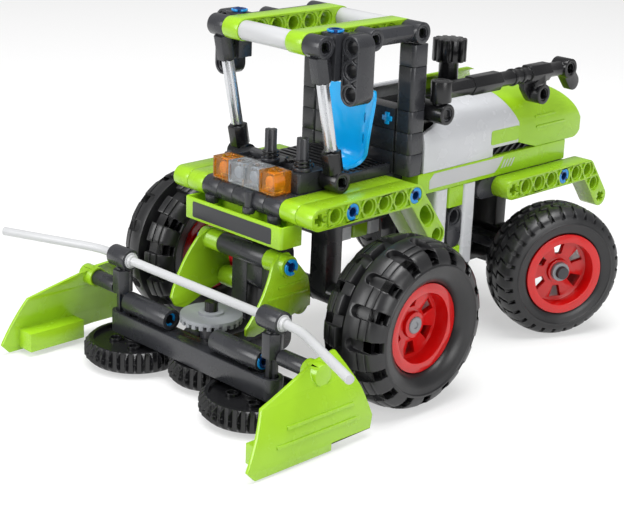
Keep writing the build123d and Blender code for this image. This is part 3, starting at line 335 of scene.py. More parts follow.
def round_off(item, width):
    """Rounds an object's edges a little and shades it smooth between them."""
    if width:
        bevel = item.modifiers.new("soft_edges", "BEVEL")
        bevel.width = width
        bevel.segments = BEVEL_STEPS
        bevel.limit_method = "ANGLE"
        bevel.angle_limit = BEVEL_TURN
        bevel.use_clamp_overlap = False
        bevel.miter_outer = "MITER_ARC"
    smooth = item.modifiers.new("smooth", "NODES")
    smooth.node_group = SMOOTH


def add_piece(name, form, material, body, edge=0.0):
    """Puts finished forms into the scene as a piece that rides on a body."""
    data = form.data(name) if isinstance(form, Form) else form
    data.materials.clear()
    data.materials.append(material)
    piece = bpy.data.objects.new(name, data)
    bpy.context.scene.collection.objects.link(piece)
    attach(piece, body)
    round_off(piece, edge)
    return piece


def add_cutter(name, form, body):
    """Puts hidden forms into the scene, to cut a node of the same body."""
    cutter = bpy.data.objects.new(name, form.data(name))
    bpy.context.scene.collection.objects.link(cutter)
    cutter.hide_render = True
    cutter.display_type = "WIRE"
    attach(cutter, body)
    return cutter


def carve(item, cutter):
    """Cuts one object with another."""
    cut = item.modifiers.new("carve", "BOOLEAN")
    cut.operation = "DIFFERENCE"
    cut.solver = "EXACT"
    cut.object = cutter


def dress_node(node, width, cutter=None):
    """Gives a CAD node clean faces, its recesses and soft moulded edges."""
    weld = node.modifiers.new("weld", "WELD")
    weld.merge_threshold = WELD_REACH
    if cutter:
        carve(node, cutter)
    else:
        flat = node.modifiers.new("flat_faces", "DECIMATE")
        flat.decimate_type = "DISSOLVE"
        flat.angle_limit = FLAT_TURN
    round_off(node, width)


def bake(form, cutters, width):
    """Carves a form, rounds its edges and gives the finished mesh."""
    blank = bpy.data.objects.new("blank", form.data("blank"))
    tools = [bpy.data.objects.new("tool", cutter.data("tool")) for cutter in cutters]
    for item in [blank] + tools:
        bpy.context.scene.collection.objects.link(item)
    for tool in tools:
        carve(blank, tool)
    round_off(blank, width)
    graph = bpy.context.evaluated_depsgraph_get()
    data = bpy.data.meshes.new_from_object(blank.evaluated_get(graph))
    for item in [blank] + tools:
        bpy.data.objects.remove(item)
    return data


# Recesses in the beams

RECESS = 0.9 * MM
PROUD = 0.6 * MM
COUNTERBORE_R = 3.05 * MM
TRIANGLE = ((-1.35, 3.15), (-0.75, 1.9), (0, 0.75), (0.75, 1.9), (1.35, 3.15))
GIRDER = (
    (-0.85, 3.0), (-0.85, 2.2), (-0.4, 2.0), (-0.4, 0.86), (-2.2, 0.86), (-2.2, -0.86), (-0.4, -0.86),
    (-0.4, -2.0), (-0.85, -2.2), (-0.85, -3.0), (0.85, -3.0), (0.85, -2.2), (0.4, -2.0), (0.4, 2.0),
    (0.85, 2.2), (0.85, 3.0),
)


def in_mm(outline):
    """The same outline with its millimetres as metres."""
    return [(a * MM, b * MM) for a, b in outline]


def counterbore(form, middle, out):
    """A round recess about a pin hole, in the face whose middle is given."""
    form.rod(middle - out * RECESS, out, RECESS + PROUD, COUNTERBORE_R, 36)


def recess(form, middle, run, out, outline):
    """A recess of any outline in a face; run is the outline's first direction."""
    rise = out.cross(run)
    form.prism(middle - out * RECESS, run, rise, outline, RECESS + PROUD)


def web_pockets(form, middle, run, out):
    """The two small pockets between neighbouring holes."""
    for mirror in (1, -1):
        recess(form, middle, run, out, in_mm([(a, b * mirror) for a, b in TRIANGLE]))


def girder_pocket(form, middle, run, out):
    """The pocket beside a cross-shaped hole, which opens into the cross."""
    recess(form, middle, run, out, in_mm(GIRDER))


def beam_recesses(form, first, run, out, holes, pockets, girders=()):
    """Recesses along a straight run of stations on one face."""
    for station in holes:
        counterbore(form, first + run * station * PITCH, out)
    for station in pockets:
        web_pockets(form, first + run * station * PITCH, run, out)
    for station in girders:
        girder_pocket(form, first + run * station * PITCH, run, out)


FENDER_Y = 4
FRONT_FENDER = (0, 0)
REAR_FENDER = (-13, -1)
FENDER_HOLES = range(1, 7)
FENDER_WEBS = (1.5, 2.5, 3.5, 4.5, 5.5)
FENDER_CROSS = (0.46,)
FENDER_BEND = 6
TAIL_TURN = math.radians(53.13)
TAIL_FALL = Vector((-math.cos(TAIL_TURN), 0, -math.sin(TAIL_TURN)))
FRONT_TAIL_SLOT = 1.35
FRONT_TAIL_HOLE = 2.7
REAR_TAIL_HOLES = (1,)
REAR_TAIL_WEBS = (0.5,)
SLOT_RING = (9.2 * MM, 6.1 * MM)


def fender_recesses(form, start, side):
    """Recesses of a fender's level run, and the place where its tail begins to fall."""
    out = LEFT * side
    face = grid(start[0], FENDER_Y * side, start[1]) + out * BEAM_HALF
    beam_recesses(form, face, -AHEAD, out, FENDER_HOLES, FENDER_WEBS, FENDER_CROSS)
    return face - AHEAD * FENDER_BEND * PITCH


def dress_fenders(nodes):
    """Holes, webs and soft edges of the four outer fender beams."""
    front = Form()
    rear = Form()
    for side in (-1, 1):
        out = LEFT * side
        bend = fender_recesses(front, FRONT_FENDER, side)
        counterbore(front, bend + TAIL_FALL * FRONT_TAIL_HOLE * PITCH, out)
        slot = slot_outline(*SLOT_RING)
        recess(front, bend + TAIL_FALL * FRONT_TAIL_SLOT * PITCH, TAIL_FALL, out, slot)
        bend = fender_recesses(rear, REAR_FENDER, side)
        beam_recesses(rear, bend, TAIL_FALL, out, REAR_TAIL_HOLES, REAR_TAIL_WEBS)
    dress_node(nodes["front_fenders"], EDGE, add_cutter("front_fender_recesses", front, "chassis"))
    dress_node(nodes["rear_fenders"], EDGE, add_cutter("rear_fender_recesses", rear, "chassis"))


# Each beam's first station in steps of the grid
ROOF_RAIL = (-1, 2, 7)
ROOF_HOLES = range(1, 6)
ROOF_WEBS = (1.5, 2.5, 3.5, 4.5)
ROOF_CROSS = (0.5,)
MIRROR = (-2.4, 4, 7)
MIRROR_HOLES = (0, 1, 2)
MIRROR_WEBS = (0.5, 1.5)
STRUT_WEB = (-10, 3, -2)


def mirrored(place, side):
    """A place on the left side, or its mirror on the right."""
    return grid(place[0], place[1] * side, place[2])


def dress_roof(nodes):
    """Recesses of the two lime rails and of the hanging mirror beams."""
    rails = Form()
    hanging = Form()
    for side in (-1, 1):
        for out in (LEFT, -LEFT):
            face = mirrored(ROOF_RAIL, side) + out * BEAM_HALF
            beam_recesses(rails, face, -AHEAD, out, ROOF_HOLES, ROOF_WEBS, ROOF_CROSS)
        for out in (AHEAD, -AHEAD):
            face = mirrored(MIRROR, side) + out * BEAM_HALF
            beam_recesses(hanging, face, -UP, out, MIRROR_HOLES, MIRROR_WEBS)
    dress_node(nodes["roof_rails"], EDGE, add_cutter("roof_rail_recesses", rails, "chassis"))
    dress_node(nodes["mirrors"], EDGE, add_cutter("mirror_recesses", hanging, "chassis"))


def dress_struts(nodes):
    """The pin hole's recess in the dark beams between the struts."""
    webs = Form()
    for side in (-1, 1):
        out = LEFT * side
        counterbore(webs, mirrored(STRUT_WEB, side) + out * BEAM_HALF, out)
    dress_node(nodes["strut_webs"], EDGE, add_cutter("strut_web_recesses", webs, "chassis"))


# Blue pins

PIN_FLANGE_R = 2.95 * MM
PIN_FLANGE_BORE = 1.75 * MM
PIN_FLANGE_H = 0.7 * MM
PIN_CORE_R = 1.45 * MM
PIN_CORE_DEPTH = 3.0 * MM

# Places in steps of the grid, on the left side
FENDER_PINS = ((-2, 4, 0), (-6, 4, 0), (-17, 4, -1))
POST_PIN = (-2, 3, 7.5)
POST_PIN_RISE = RECESS + 0.3 * MM
CHEEK_PIN = (0, 2.83, -2.5)
BAR_PINS = (
    # how far across the toy, which way the end faces from the middle
    (4.55, 1), (3.6, -1), (1.62, -1),
)
BAR_PIN_RISE = 0.1 * MM


def pin_head(flanges, cores, face, out):
    """A split ring at a pin's end, round its hollow core."""
    across = out.orthogonal().normalized()
    along = out.cross(across)
    foot = face - out * RECESS
    for turn in (0, 180):
        outer = arc(0, 0, PIN_FLANGE_R, turn + 12, turn + 168, 20)
        inner = arc(0, 0, PIN_FLANGE_BORE, turn + 160, turn + 20, 20)
        flanges.prism(foot, across, along, outer + inner, PIN_FLANGE_H)
    cores.rod(face - out * PIN_CORE_DEPTH, out, PIN_CORE_DEPTH + PROUD, PIN_CORE_R, 24)


def make_pins(nodes):
    """Ends of the blue pins in the fenders, the crossbar's tubes, the cheeks and the mirrors' posts."""
    flanges = Form()
    cores = Form()
    for side in (-1, 1):
        out = LEFT * side
        for place in FENDER_PINS:
            pin_head(flanges, cores, mirrored(place, side) + out * BEAM_HALF, out)
        pin_head(flanges, cores, mirrored(POST_PIN, side) + UP * POST_PIN_RISE, UP)
    add_piece("pin_rings", flanges, BLUE, "chassis", FINE_EDGE)
    dress_node(nodes["blue_pins"], 0.0, add_cutter("pin_cores", cores, "chassis"))
    flanges = Form()
    cores = Form()
    for side in (-1, 1):
        out = LEFT * side
        pin_head(flanges, cores, mirrored(CHEEK_PIN, side) + out * RECESS, out)
        for y, facing in BAR_PINS:
            pin_head(flanges, cores, grid(3, y * side, -5.5) + out * facing * BAR_PIN_RISE, out * facing)
    add_piece("header_pin_rings", flanges, BLUE, "header", FINE_EDGE)
    dress_node(nodes["header_pins"], 0.0, add_cutter("header_pin_cores", cores, "header"))


# Tyres

CROWN_SIDES = 120


def tyre_blank(half_profile):
    """A bare tyre about the upright axis, from the half of its section that lies above its middle."""
    form = Form()
    profile = list(half_profile) + [(r, -h) for r, h in reversed(half_profile) if h]
    form.lathe(Vector((0, 0, 0)), UP, in_mm(profile), CROWN_SIDES)
    return form


def radial_cuts(count, phase, floor, outline, height=5.0):
    """Cutters that stand on a floor radius all round a wheel; outlines run across the tread and round it."""
    form = Form()
    for step in range(count):
        turn = math.tau * (step + phase) / count
        out = Vector((math.cos(turn), math.sin(turn), 0))
        form.prism(out * floor * MM, UP, out.cross(UP), in_mm(outline), height * MM)
    return form


FRONT_HALF_PROFILE = (
    # radius, height over the tyre's middle; the two ring grooves of a shoulder are steps in it
    (14.2, 0), (30.0, 0), (29.9, 3.5), (29.56, 6.15), (28.95, 6.15), (28.95, 6.65), (29.42, 6.65),
    (28.8, 8.6), (28.67, 8.85), (28.1, 8.85), (28.1, 9.35), (28.4, 9.35), (27.6, 10.8), (25.9, 12.4),
    (23.9, 13.2), (23.3, 13.25), (23.1, 13.55), (22.6, 13.55), (22.4, 13.25), (20.6, 13.0), (18.6, 12.2),
    (17.1, 10.9), (16.2, 9.4), (16.05, 7.85), (14.2, 7.8),
)
REAR_HALF_PROFILE = (
    (14.2, 0), (26.0, 0), (25.9, 3.0), (25.5, 5.6), (24.7, 7.8), (23.5, 9.2), (21.9, 10.0), (20.6, 10.15),
    (20.4, 10.4), (19.9, 10.4), (19.7, 10.15), (18.2, 9.9), (16.8, 9.4), (16.1, 8.8), (16.05, 7.85),
    (14.2, 7.8),
)

# Outlines of the tread's cuts in millimetres: across the tread, round it
FRONT_SLOT = [(14.5, -2.2), (14.5, 2.2)] + arc(3.9, 0, 2.2, 90, 270, 10)
FRONT_STEP = ((7.6, -2.0), (14.5, -2.0), (14.5, 2.0), (7.6, 2.0))
FRONT_SIDE_STEP = ((10.6, -1.8), (14.5, -1.8), (14.5, 1.8), (10.6, 1.8))
FRONT_CUTS = (
    # outline, radius of its floor in millimetres
    (FRONT_SLOT, 27.3), (FRONT_STEP, 25.2), (FRONT_SIDE_STEP, 23.6),
)
FRONT_CUT_COUNT = 16
REAR_ZIGZAG = ((10.8, -1.2), (3.3, 1.3), (2.8, -1.6), (-2.8, 1.6), (-3.3, -1.3), (-10.8, 1.2))
REAR_NOTCH = ((7.6, -0.75), (11, -0.75), (11, 0.75), (7.6, 0.75))
REAR_CUT_COUNT = 30
REAR_GROOVE_HALF = 0.42
REAR_GROOVE_FLOOR = 24.6
REAR_GROOVE_HEIGHT = 4.0
REAR_NOTCH_FLOOR = 22.4
REAR_NOTCH_PHASE = 0.045
REAR_TREAD_EDGE = 0.14 * MM


def flipped(outline):
    """The same outline on the other side of the tyre's middle."""
    return [(-a, b) for a, b in reversed(outline)]


def front_tread():
    """A balloon tyre with deep slots that come in from its two shoulders by turns."""
    cutters = []
    for outline, floor in FRONT_CUTS:
        cutters.append(radial_cuts(FRONT_CUT_COUNT, 0.0, floor, outline))
        cutters.append(radial_cuts(FRONT_CUT_COUNT, 0.5, floor, flipped(outline)))
    return bake(tyre_blank(FRONT_HALF_PROFILE), cutters, EDGE)


def rear_tread():
    """A road tyre with narrow zigzag grooves and notched shoulders."""
    zigzag = ribbon(REAR_ZIGZAG, REAR_GROOVE_HALF)
    grooves = radial_cuts(REAR_CUT_COUNT, 0.0, REAR_GROOVE_FLOOR, zigzag, REAR_GROOVE_HEIGHT)
    notches = radial_cuts(REAR_CUT_COUNT, REAR_NOTCH_PHASE, REAR_NOTCH_FLOOR, REAR_NOTCH)
    others = radial_cuts(REAR_CUT_COUNT, -REAR_NOTCH_PHASE, REAR_NOTCH_FLOOR, flipped(REAR_NOTCH))
    return bake(tyre_blank(REAR_HALF_PROFILE), [grooves, notches, others], REAR_TREAD_EDGE)


FRONT_AXLE = (-3, 0, -4.5)
FRONT_WHEEL_Y = 54 * MM
KINGPIN = (-16, 3.5, -5)
KINGPIN_TO_WHEEL = 18 * MM
STEER_REST = math.radians(-23.4)
HUB_FACE = 5.5 * MM
# Radius and height over the hub's face, in millimetres
FRONT_BUSH = ((1.0, 0.0), (3.1, 0.0), (2.9, 0.5), (2.5, 0.6), (1.2, 0.6))
REAR_BUSH = ((2.42, 0), (3.7, 0), (3.6, 1.6), (2.42, 1.8))
FRONT_AXLE_END = (0.3 * MM, 1.05 * MM)


def wheel_frame(middle, out):
    """The matrix that stands a wheel made about the upright axis on its own axle."""
    return Matrix.Translation(middle) @ UP.rotation_difference(out).to_matrix().to_4x4()


def add_tyre(tread, name, middle, out):
    """Stands a copy of a finished tread on its wheel, in place of the CAD's plain tyre."""
    data = tread.copy()
    data.transform(wheel_frame(middle, out))
    tyre = add_piece(f"{name}_tread", data, TYRE, f"{name}_wheel")
    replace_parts(tyre, f"{name}_tyre")


def make_wheels():
    """Tyres, and what shows in the middle of each rim."""
    front = front_tread()
    rear = rear_tread()
    for side, name in ((1, "left"), (-1, "right")):
        out = LEFT * side
        middle = grid(*FRONT_AXLE) + out * FRONT_WHEEL_Y
        add_tyre(front, f"front_{name}", middle, out)
        bush = Form()
        face = middle + out * HUB_FACE
        bush.lathe(face, out, in_mm(FRONT_BUSH), 32)
        bush.rod(face, out, *FRONT_AXLE_END, 24)
        add_piece(f"front_{name}_bush", bush, GREY, f"front_{name}_wheel", FINE_EDGE)
        out = Vector((-math.sin(STEER_REST), math.cos(STEER_REST), 0)) * side
        middle = mirrored(KINGPIN, side) + out * KINGPIN_TO_WHEEL
        add_tyre(rear, f"rear_{name}", middle, out)
        bush = Form()
        bush.lathe(middle + out * HUB_FACE, out, in_mm(REAR_BUSH), 32)
        add_piece(f"rear_{name}_bush", bush, GREY, f"rear_{name}_wheel", FINE_EDGE)
    bpy.data.meshes.remove(front)
    bpy.data.meshes.remove(rear)


# Body panels' trim

# Places on the panels are x and z in steps of the grid
LIME_PATCH = (-14.38, -12.3, 1.08, 1.78, 0.12)
RAISED_RIBS = ((-17.2, -15.6, 1.95, 2.07, 0.055), (-18.0, -15.7, 1.44, 1.56, 0.055))
RIB_THICK = 0.4 * MM
STRIPE = ((-8.3, 0.4), (-13.3, 0.4), (-12.95, -0.1), (-12.7, -0.3), (-8.0, -0.3), (-8.0, 0.1))
SLANT_BAR = ((0, 0.22), (-0.1, 0.22), (0.14, -0.16), (0.24, -0.16))
SLANT_BARS_X = [-13.4 - 0.23 * index for index in range(4)]
NOTCH = ((-12.4, 0.52), (-12.4, 1.0), (-14.6, 1.0), (-15.9, 0.52))
NOTCH_BACK_Y = 26.2 * MM
NOTCH_THICK = 0.8 * MM
LATTICE_BAR = ((0, 0.55), (0.14, 0.55), (-0.3, 0.9), (-0.44, 0.9))
LATTICE_BARS_X = [-12.8 - 0.55 * index for index in range(5)]
LATTICE_THICK = 0.9 * MM
BLUE_CROSS = (-6.5, 2.1, 3.0)
CROSS_TIP = 2.2 * MM
CROSS_WEB = 0.9 * MM
CROSS_THICK = 0.8 * MM

# Three points of the panels' bow, in millimetres from the middle and over the deck
SHELL_FOOT = (27.9, 12.8)
SHELL_MIDDLE = (24.8, 22.0)
SHELL_TOP = (15.2, 27.2)
SKIRT_Y = 27.95 * MM
DECAL_THICK = 0.12 * MM
SINK = 0.05 * MM
PATCH_STEP = PITCH / 8


def circle_through(first, second, third):
    """Middle and radius of the circle through three points."""
    ax, ay, bx, by, cx, cy = *first, *second, *third
    scale = 2 * (ax * (by - cy) + bx * (cy - ay) + cx * (ay - by))
    a, b, c = (x * x + y * y for x, y in (first, second, third))
    middle_x = (a * (by - cy) + b * (cy - ay) + c * (ay - by)) / scale
    middle_y = (a * (cx - bx) + b * (ax - cx) + c * (bx - ax)) / scale
    return middle_x, middle_y, math.dist((middle_x, middle_y), first)


SHELL_ARC = circle_through(SHELL_FOOT, SHELL_MIDDLE, SHELL_TOP)


def shell_y(z):
    """How far out a body panel's face lies at a height in the toy's frame."""
    rise = (z - DECK_Z) / MM
    if rise <= SHELL_FOOT[1]:
        return SHELL_FOOT[0] * MM
    middle_y, middle_z, radius = SHELL_ARC
    return (middle_y + math.sqrt(max(0.0, radius**2 - (rise - middle_z) ** 2))) * MM


def shell_patch(form, side, outline, thick, face_y=shell_y):
    """A thin patch that lies on a panel's curved face."""
    patch = Form()
    flat = side_view(outline)
    patch.prism(Vector((0, 0, 0)), AHEAD, UP, flat, -thick - SINK)
    low, high = min(z for x, z in flat), max(z for x, z in flat)
    level = low + PATCH_STEP
    while level < high:
        every = patch.mesh.verts[:] + patch.mesh.edges[:] + patch.mesh.faces[:]
        bmesh.ops.bisect_plane(patch.mesh, geom=every, plane_co=(0, 0, level), plane_no=UP)
        level += PATCH_STEP
    for vert in patch.mesh.verts:
        vert.co.y = side * (face_y(vert.co.z) - SINK + abs(vert.co.y))
    scratch = patch.data("patch")
    form.mesh.from_mesh(scratch)
    bpy.data.meshes.remove(scratch)


def rounded(low_x, high_x, low_z, high_z, radius, slant=0.0):
    """An outline with round corners, leaning by a slant over its height."""
    corners = (
        (high_x - radius, low_z + radius, -90), (high_x - radius, high_z - radius, 0),
        (low_x + radius, high_z - radius, 90), (low_x + radius, low_z + radius, 180),
    )
    points = [point for a, b, start in corners for point in arc(a, b, radius, start, start + 90, 5)]
    return [(a + slant * (b - low_z) / (high_z - low_z), b) for a, b in points]


def shifted(outline, x):
    """The same outline, moved along the toy."""
    return [(x + a, b) for a, b in outline]


def make_panel_trim():
    """Patches, stripes and raised ribs on the body's sides, and the blue axle end in the rear wall."""
    patches = Form()
    ribs = Form()
    stripes = Form()
    lattice = Form()
    for side in (-1, 1):
        shell_patch(patches, side, rounded(*LIME_PATCH), DECAL_THICK)
        for rib in RAISED_RIBS:
            shell_patch(ribs, side, rounded(*rib), RIB_THICK)
        face = Vector((0, side * (SKIRT_Y - SINK), 0))
        for bar in [STRIPE] + [shifted(SLANT_BAR, x) for x in SLANT_BARS_X]:
            stripes.prism(face, AHEAD, UP, side_view(bar), -side * (SINK + DECAL_THICK))
        back = Vector((0, side * NOTCH_BACK_Y, 0))
        lattice.prism(back, AHEAD, UP, side_view(NOTCH), side * NOTCH_THICK)
        for x in LATTICE_BARS_X:
            lattice.prism(back, AHEAD, UP, side_view(shifted(LATTICE_BAR, x)), -side * LATTICE_THICK)
    add_piece("notch_lattice", lattice, BLACK, "chassis", FINE_EDGE)
    cross = Form()
    tip, web = CROSS_TIP, CROSS_WEB
    outline = (
        (-tip, -web), (-web, -web), (-web, -tip), (web, -tip), (web, -web), (tip, -web),
        (tip, web), (web, web), (web, tip), (-web, tip), (-web, web), (-tip, web),
    )
    cross.prism(grid(*BLUE_CROSS) - AHEAD * SINK, LEFT, UP, outline, CROSS_THICK)
    add_piece("wall_axle_end", cross, SEAT_BLUE, "chassis", FINE_EDGE)
    add_piece("panel_patches", patches, LIME, "chassis")
    add_piece("panel_ribs", ribs, LIME, "chassis", FINE_EDGE)
    add_piece("skirt_stripes", stripes, WHITE, "chassis")


# Front, back and half width in steps of the grid, half height likewise
BUMPER = (0.95, -0.3, 3.15, 0.49)
BUMPER_LEVEL = -1
BUMPER_WALL = 1.3 * MM
BUMPER_CORNER = 1.6 * MM
PLATE_HALF = (20.5 * MM, 2.9 * MM)
PLATE_CORNER = 0.6 * MM
PLATE_THICK = 0.25 * MM
# Places under the deck's nose in steps of the grid; length and radius of each rod
NOSE_RODS = (
    ((0.5, 0.63, -0.5), 7.6 * MM, 1.6 * MM), ((0.5, 0.63, -0.5), 2.2 * MM, 2.2 * MM),
    ((0.3, -2.03, -0.68), 3.0 * MM, 2.4 * MM), ((0.3, 2.03, -0.68), 3.0 * MM, 2.4 * MM),
)


def make_bumper():
    """A bumper channel, open at its top, with a blank dark plate on its face."""
    front_x, back_x, half_y, half_z = BUMPER
    low = grid(back_x, -half_y, BUMPER_LEVEL - half_z)
    high = grid(front_x, half_y, BUMPER_LEVEL + half_z)
    size = high - low
    shell = Form()
    corner = BUMPER_CORNER
    right = arc(size.x - corner, corner, corner, -90, 0, 5)
    left = arc(size.x - corner, size.y - corner, corner, 0, 90, 5)
    shell.prism(low, AHEAD, LEFT, [(0, 0)] + right + left + [(0, size.y)], size.z)
    well = Form()
    well.box(low + Vector((BUMPER_WALL,) * 3), high + Vector((-BUMPER_WALL, -BUMPER_WALL, PROUD)))
    mesh = bake(shell, [well], EDGE)
    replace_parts(add_piece("bumper_channel", mesh, LIME, "chassis"), "front_bumper")
    plate = Form()
    half_y, half_z = PLATE_HALF
    outline = rounded(-half_y, half_y, -half_z, half_z, PLATE_CORNER)
    level = DECK_Z + BUMPER_LEVEL * PITCH
    plate.prism(Vector((high.x - SINK, 0, level)), LEFT, UP, outline, PLATE_THICK)
    add_piece("bumper_plate", plate, PLATE, "chassis", FINE_EDGE)
    stem = Form()
    for place, length, radius in NOSE_RODS:
        stem.rod(grid(*place), UP, length, radius, 28)
    add_piece("nose_stem", stem, DARK, "chassis", FINE_EDGE)


LAMPS_ACROSS = (
    # middle of each lamp across the toy, its node
    (-1.5, "amber_lamps"), (-0.5, "clear_lamps"), (0.5, "clear_lamps"), (1.5, "amber_lamps"),
)
LAMP_FACE_X = 0.3
LAMP_TOP = (-0.2, 1.5)
FACET_HALF = 3.1 * MM
FACET_CORNER = 0.6 * MM
FACET_DEPTH = 0.7 * MM
TOP_WELL_R = 2.4 * MM
BULB_SETBACK = 5.9 * MM
BULB_PROFILE = ((0, 0), (2.3, 0), (2.3, 3.6), (1.9, 4.2), (0, 4.5))


def make_lamp_cores(nodes):
    """Facets in the lamp cubes, and the bulbs inside them."""
    wells = {"clear_lamps": Form(), "amber_lamps": Form()}
    bulbs = {"clear_lamps": Form(), "amber_lamps": Form()}
    outline = rounded(-FACET_HALF, FACET_HALF, -FACET_HALF, FACET_HALF, FACET_CORNER)
    for y, name in LAMPS_ACROSS:
        face = grid(LAMP_FACE_X, y, 1) - AHEAD * SINK
        wells[name].prism(face - AHEAD * FACET_DEPTH, LEFT, UP, outline, FACET_DEPTH + PROUD)
        x, z = LAMP_TOP
        wells[name].rod(grid(x, y, z) - UP * RECESS, UP, RECESS + PROUD, TOP_WELL_R, 32)
        bulbs[name].lathe(face - AHEAD * BULB_SETBACK, AHEAD, in_mm(BULB_PROFILE), 32)
    for name, material, slot in (("clear_lamps", REFLECTOR, "clear"), ("amber_lamps", BULB, "amber")):
        add_piece(f"{name}_bulbs", bulbs[name], material, "chassis", FINE_EDGE)
        dress_node(nodes[name], EDGE, add_cutter(f"{name}_wells", wells[name], "chassis"))


# Hollow ends of tubes

# Middles of the tubes' end faces in steps of the grid
FRAME_TUBE_ENDS = ((-2.3, 3.494, 1.0), (-1.0, 3.494, 7.0), (-4.0, 3.494, 7.0), (-7.0, 3.494, 7.0))
MOUNT_TUBE_END = (-8, 4.32, 3.35)
SPOUT_ENDS = ((-15.0, 4.32, 3.35), (-17.0, 4.32, 4.35))
INSERT_R = 2.38 * MM
INSERT_BORE = 1.85 * MM
INSERT_L = 1.6 * MM
INSERT_DEPTH = 0.3 * MM
SPOUT_CAM = (
    (-13.95, 4.1), (-15.4, 4.1), (-15.45, 3.3), (-15.2, 2.98), (-14.85, 2.95), (-14.5, 3.1), (-14.1, 3.6),
)
CAM_Y = 3.5 * PITCH
CAM_THICK = 0.32 * PITCH


def tube_insert(form, face, out):
    """A split sleeve just inside a tube's end."""
    across = out.orthogonal().normalized()
    along = out.cross(across)
    foot = face - out * (INSERT_L + INSERT_DEPTH)
    for turn in (0, 180):
        outer = arc(0, 0, INSERT_R, turn + 14, turn + 166, 16)
        inner = arc(0, 0, INSERT_BORE, turn + 160, turn + 20, 16)
        form.prism(foot, across, along, outer + inner, INSERT_L)


def make_tube_inserts():
    """The split sleeves that show in the ends of the roof frame's and the spout's tubes, and a cam on it."""
    fixed = Form()
    for place in FRAME_TUBE_ENDS:
        for side in (-1, 1):
            tube_insert(fixed, mirrored(place, side), LEFT * side)
    tube_insert(fixed, grid(*MOUNT_TUBE_END), LEFT)
    add_piece("tube_inserts", fixed, DARK, "chassis", FINE_EDGE)
    moving = Form()
    for place in SPOUT_ENDS:
        tube_insert(moving, grid(*place), LEFT)
    moving.prism(Vector((0, CAM_Y, 0)), AHEAD, UP, side_view(SPOUT_CAM), -CAM_THICK)
    add_piece("spout_trim", moving, BLACK, "spout", FINE_EDGE)


# Cab

FLOOR_RIBS_X = [-3.1 - 0.38 * index for index in range(9)]
FLOOR_RIB_HALF = (0.1, 2.3)
FLOOR_RIB_LEVELS = (0.94, 1.02)
LEVER_FEET = ((-1.3, 0, 1.55), (-1.3, 2, 1.55))
LEVER_SLEEVES = (0.6 * MM, 2.0 * MM)
SLEEVE_SIZE = (0.9 * MM, 2.9 * MM)
# Small cylinders in the console: places in steps of the grid, sections in millimetres
OPEN_DIALS = ((-1.4, -0.9, 0.55), (-1.4, -1.6, 0.55), (-1.4, 1.0, 0.55))
OPEN_DIAL_PROFILE = ((1.6, 0), (2.4, 0), (2.4, 5.4), (1.6, 5.4))
CLOSED_DIALS = ((-2.0, -0.6, 1.38), (-2.0, 0.6, 1.38), (-2.0, 1.6, 1.38))
CLOSED_DIAL_PROFILE = ((0, 0), (2.45, 0), (2.35, 1.3), (1.9, 1.5), (1.7, 1.1), (0, 1.1))


def make_cab():
    """Ribs on the floor, sleeves on the levers and small cylinders in the console."""
    ribs = Form()
    half_x, half_y = FLOOR_RIB_HALF
    low, high = FLOOR_RIB_LEVELS
    for x in FLOOR_RIBS_X:
        ribs.box(grid(x - half_x, -half_y, low), grid(x + half_x, half_y, high))
    add_piece("cab_floor_ribs", ribs, BLACK, "chassis", FINE_EDGE)
    dials = Form()
    for place in LEVER_FEET:
        for rise in LEVER_SLEEVES:
            dials.rod(grid(*place) + UP * rise, UP, *SLEEVE_SIZE, 28)
    for place in OPEN_DIALS:
        dials.lathe(grid(*place), UP, in_mm(OPEN_DIAL_PROFILE))
    for place in CLOSED_DIALS:
        dials.lathe(grid(*place), UP, in_mm(CLOSED_DIAL_PROFILE))
    add_piece("console_dials", dials, BLACK, "chassis", FINE_EDGE)


SEAT_LINE = (
    # x and z in steps of the grid along the seat's middle, half its width in millimetres, depth of its wings
    (-3.9, 1.02, 5.0, 0.3), (-4.3, 1.0, 5.2, 0.7), (-4.75, 1.02, 5.4, 1.2), (-5.05, 1.2, 5.8, 1.6),
    (-5.2, 1.5, 7.0, 2.2), (-5.17, 2.0, 8.2, 2.8), (-5.12, 2.5, 9.2, 3.0), (-5.08, 3.0, 10.0, 2.8),
    (-5.04, 3.5, 10.7, 2.4), (-5.0, 4.0, 11.2, 1.8), (-4.97, 4.4, 11.2, 1.2), (-4.96, 4.58, 10.6, 0.8),
)
SEAT_SHARES = (-1, -0.94, -0.8, -0.55, -0.2, 0.2, 0.52, 0.64, 0.8, 0.94, 1)
SEAT_SLIT_ROWS = (5, 7)
SEAT_SLIT_COLUMN = 6
SEAT_MIDDLE = 1.45
SEAT_BEND = 2.5
SEAT_THICK = 1.3 * MM
SEAT_EDGE = 0.2 * MM


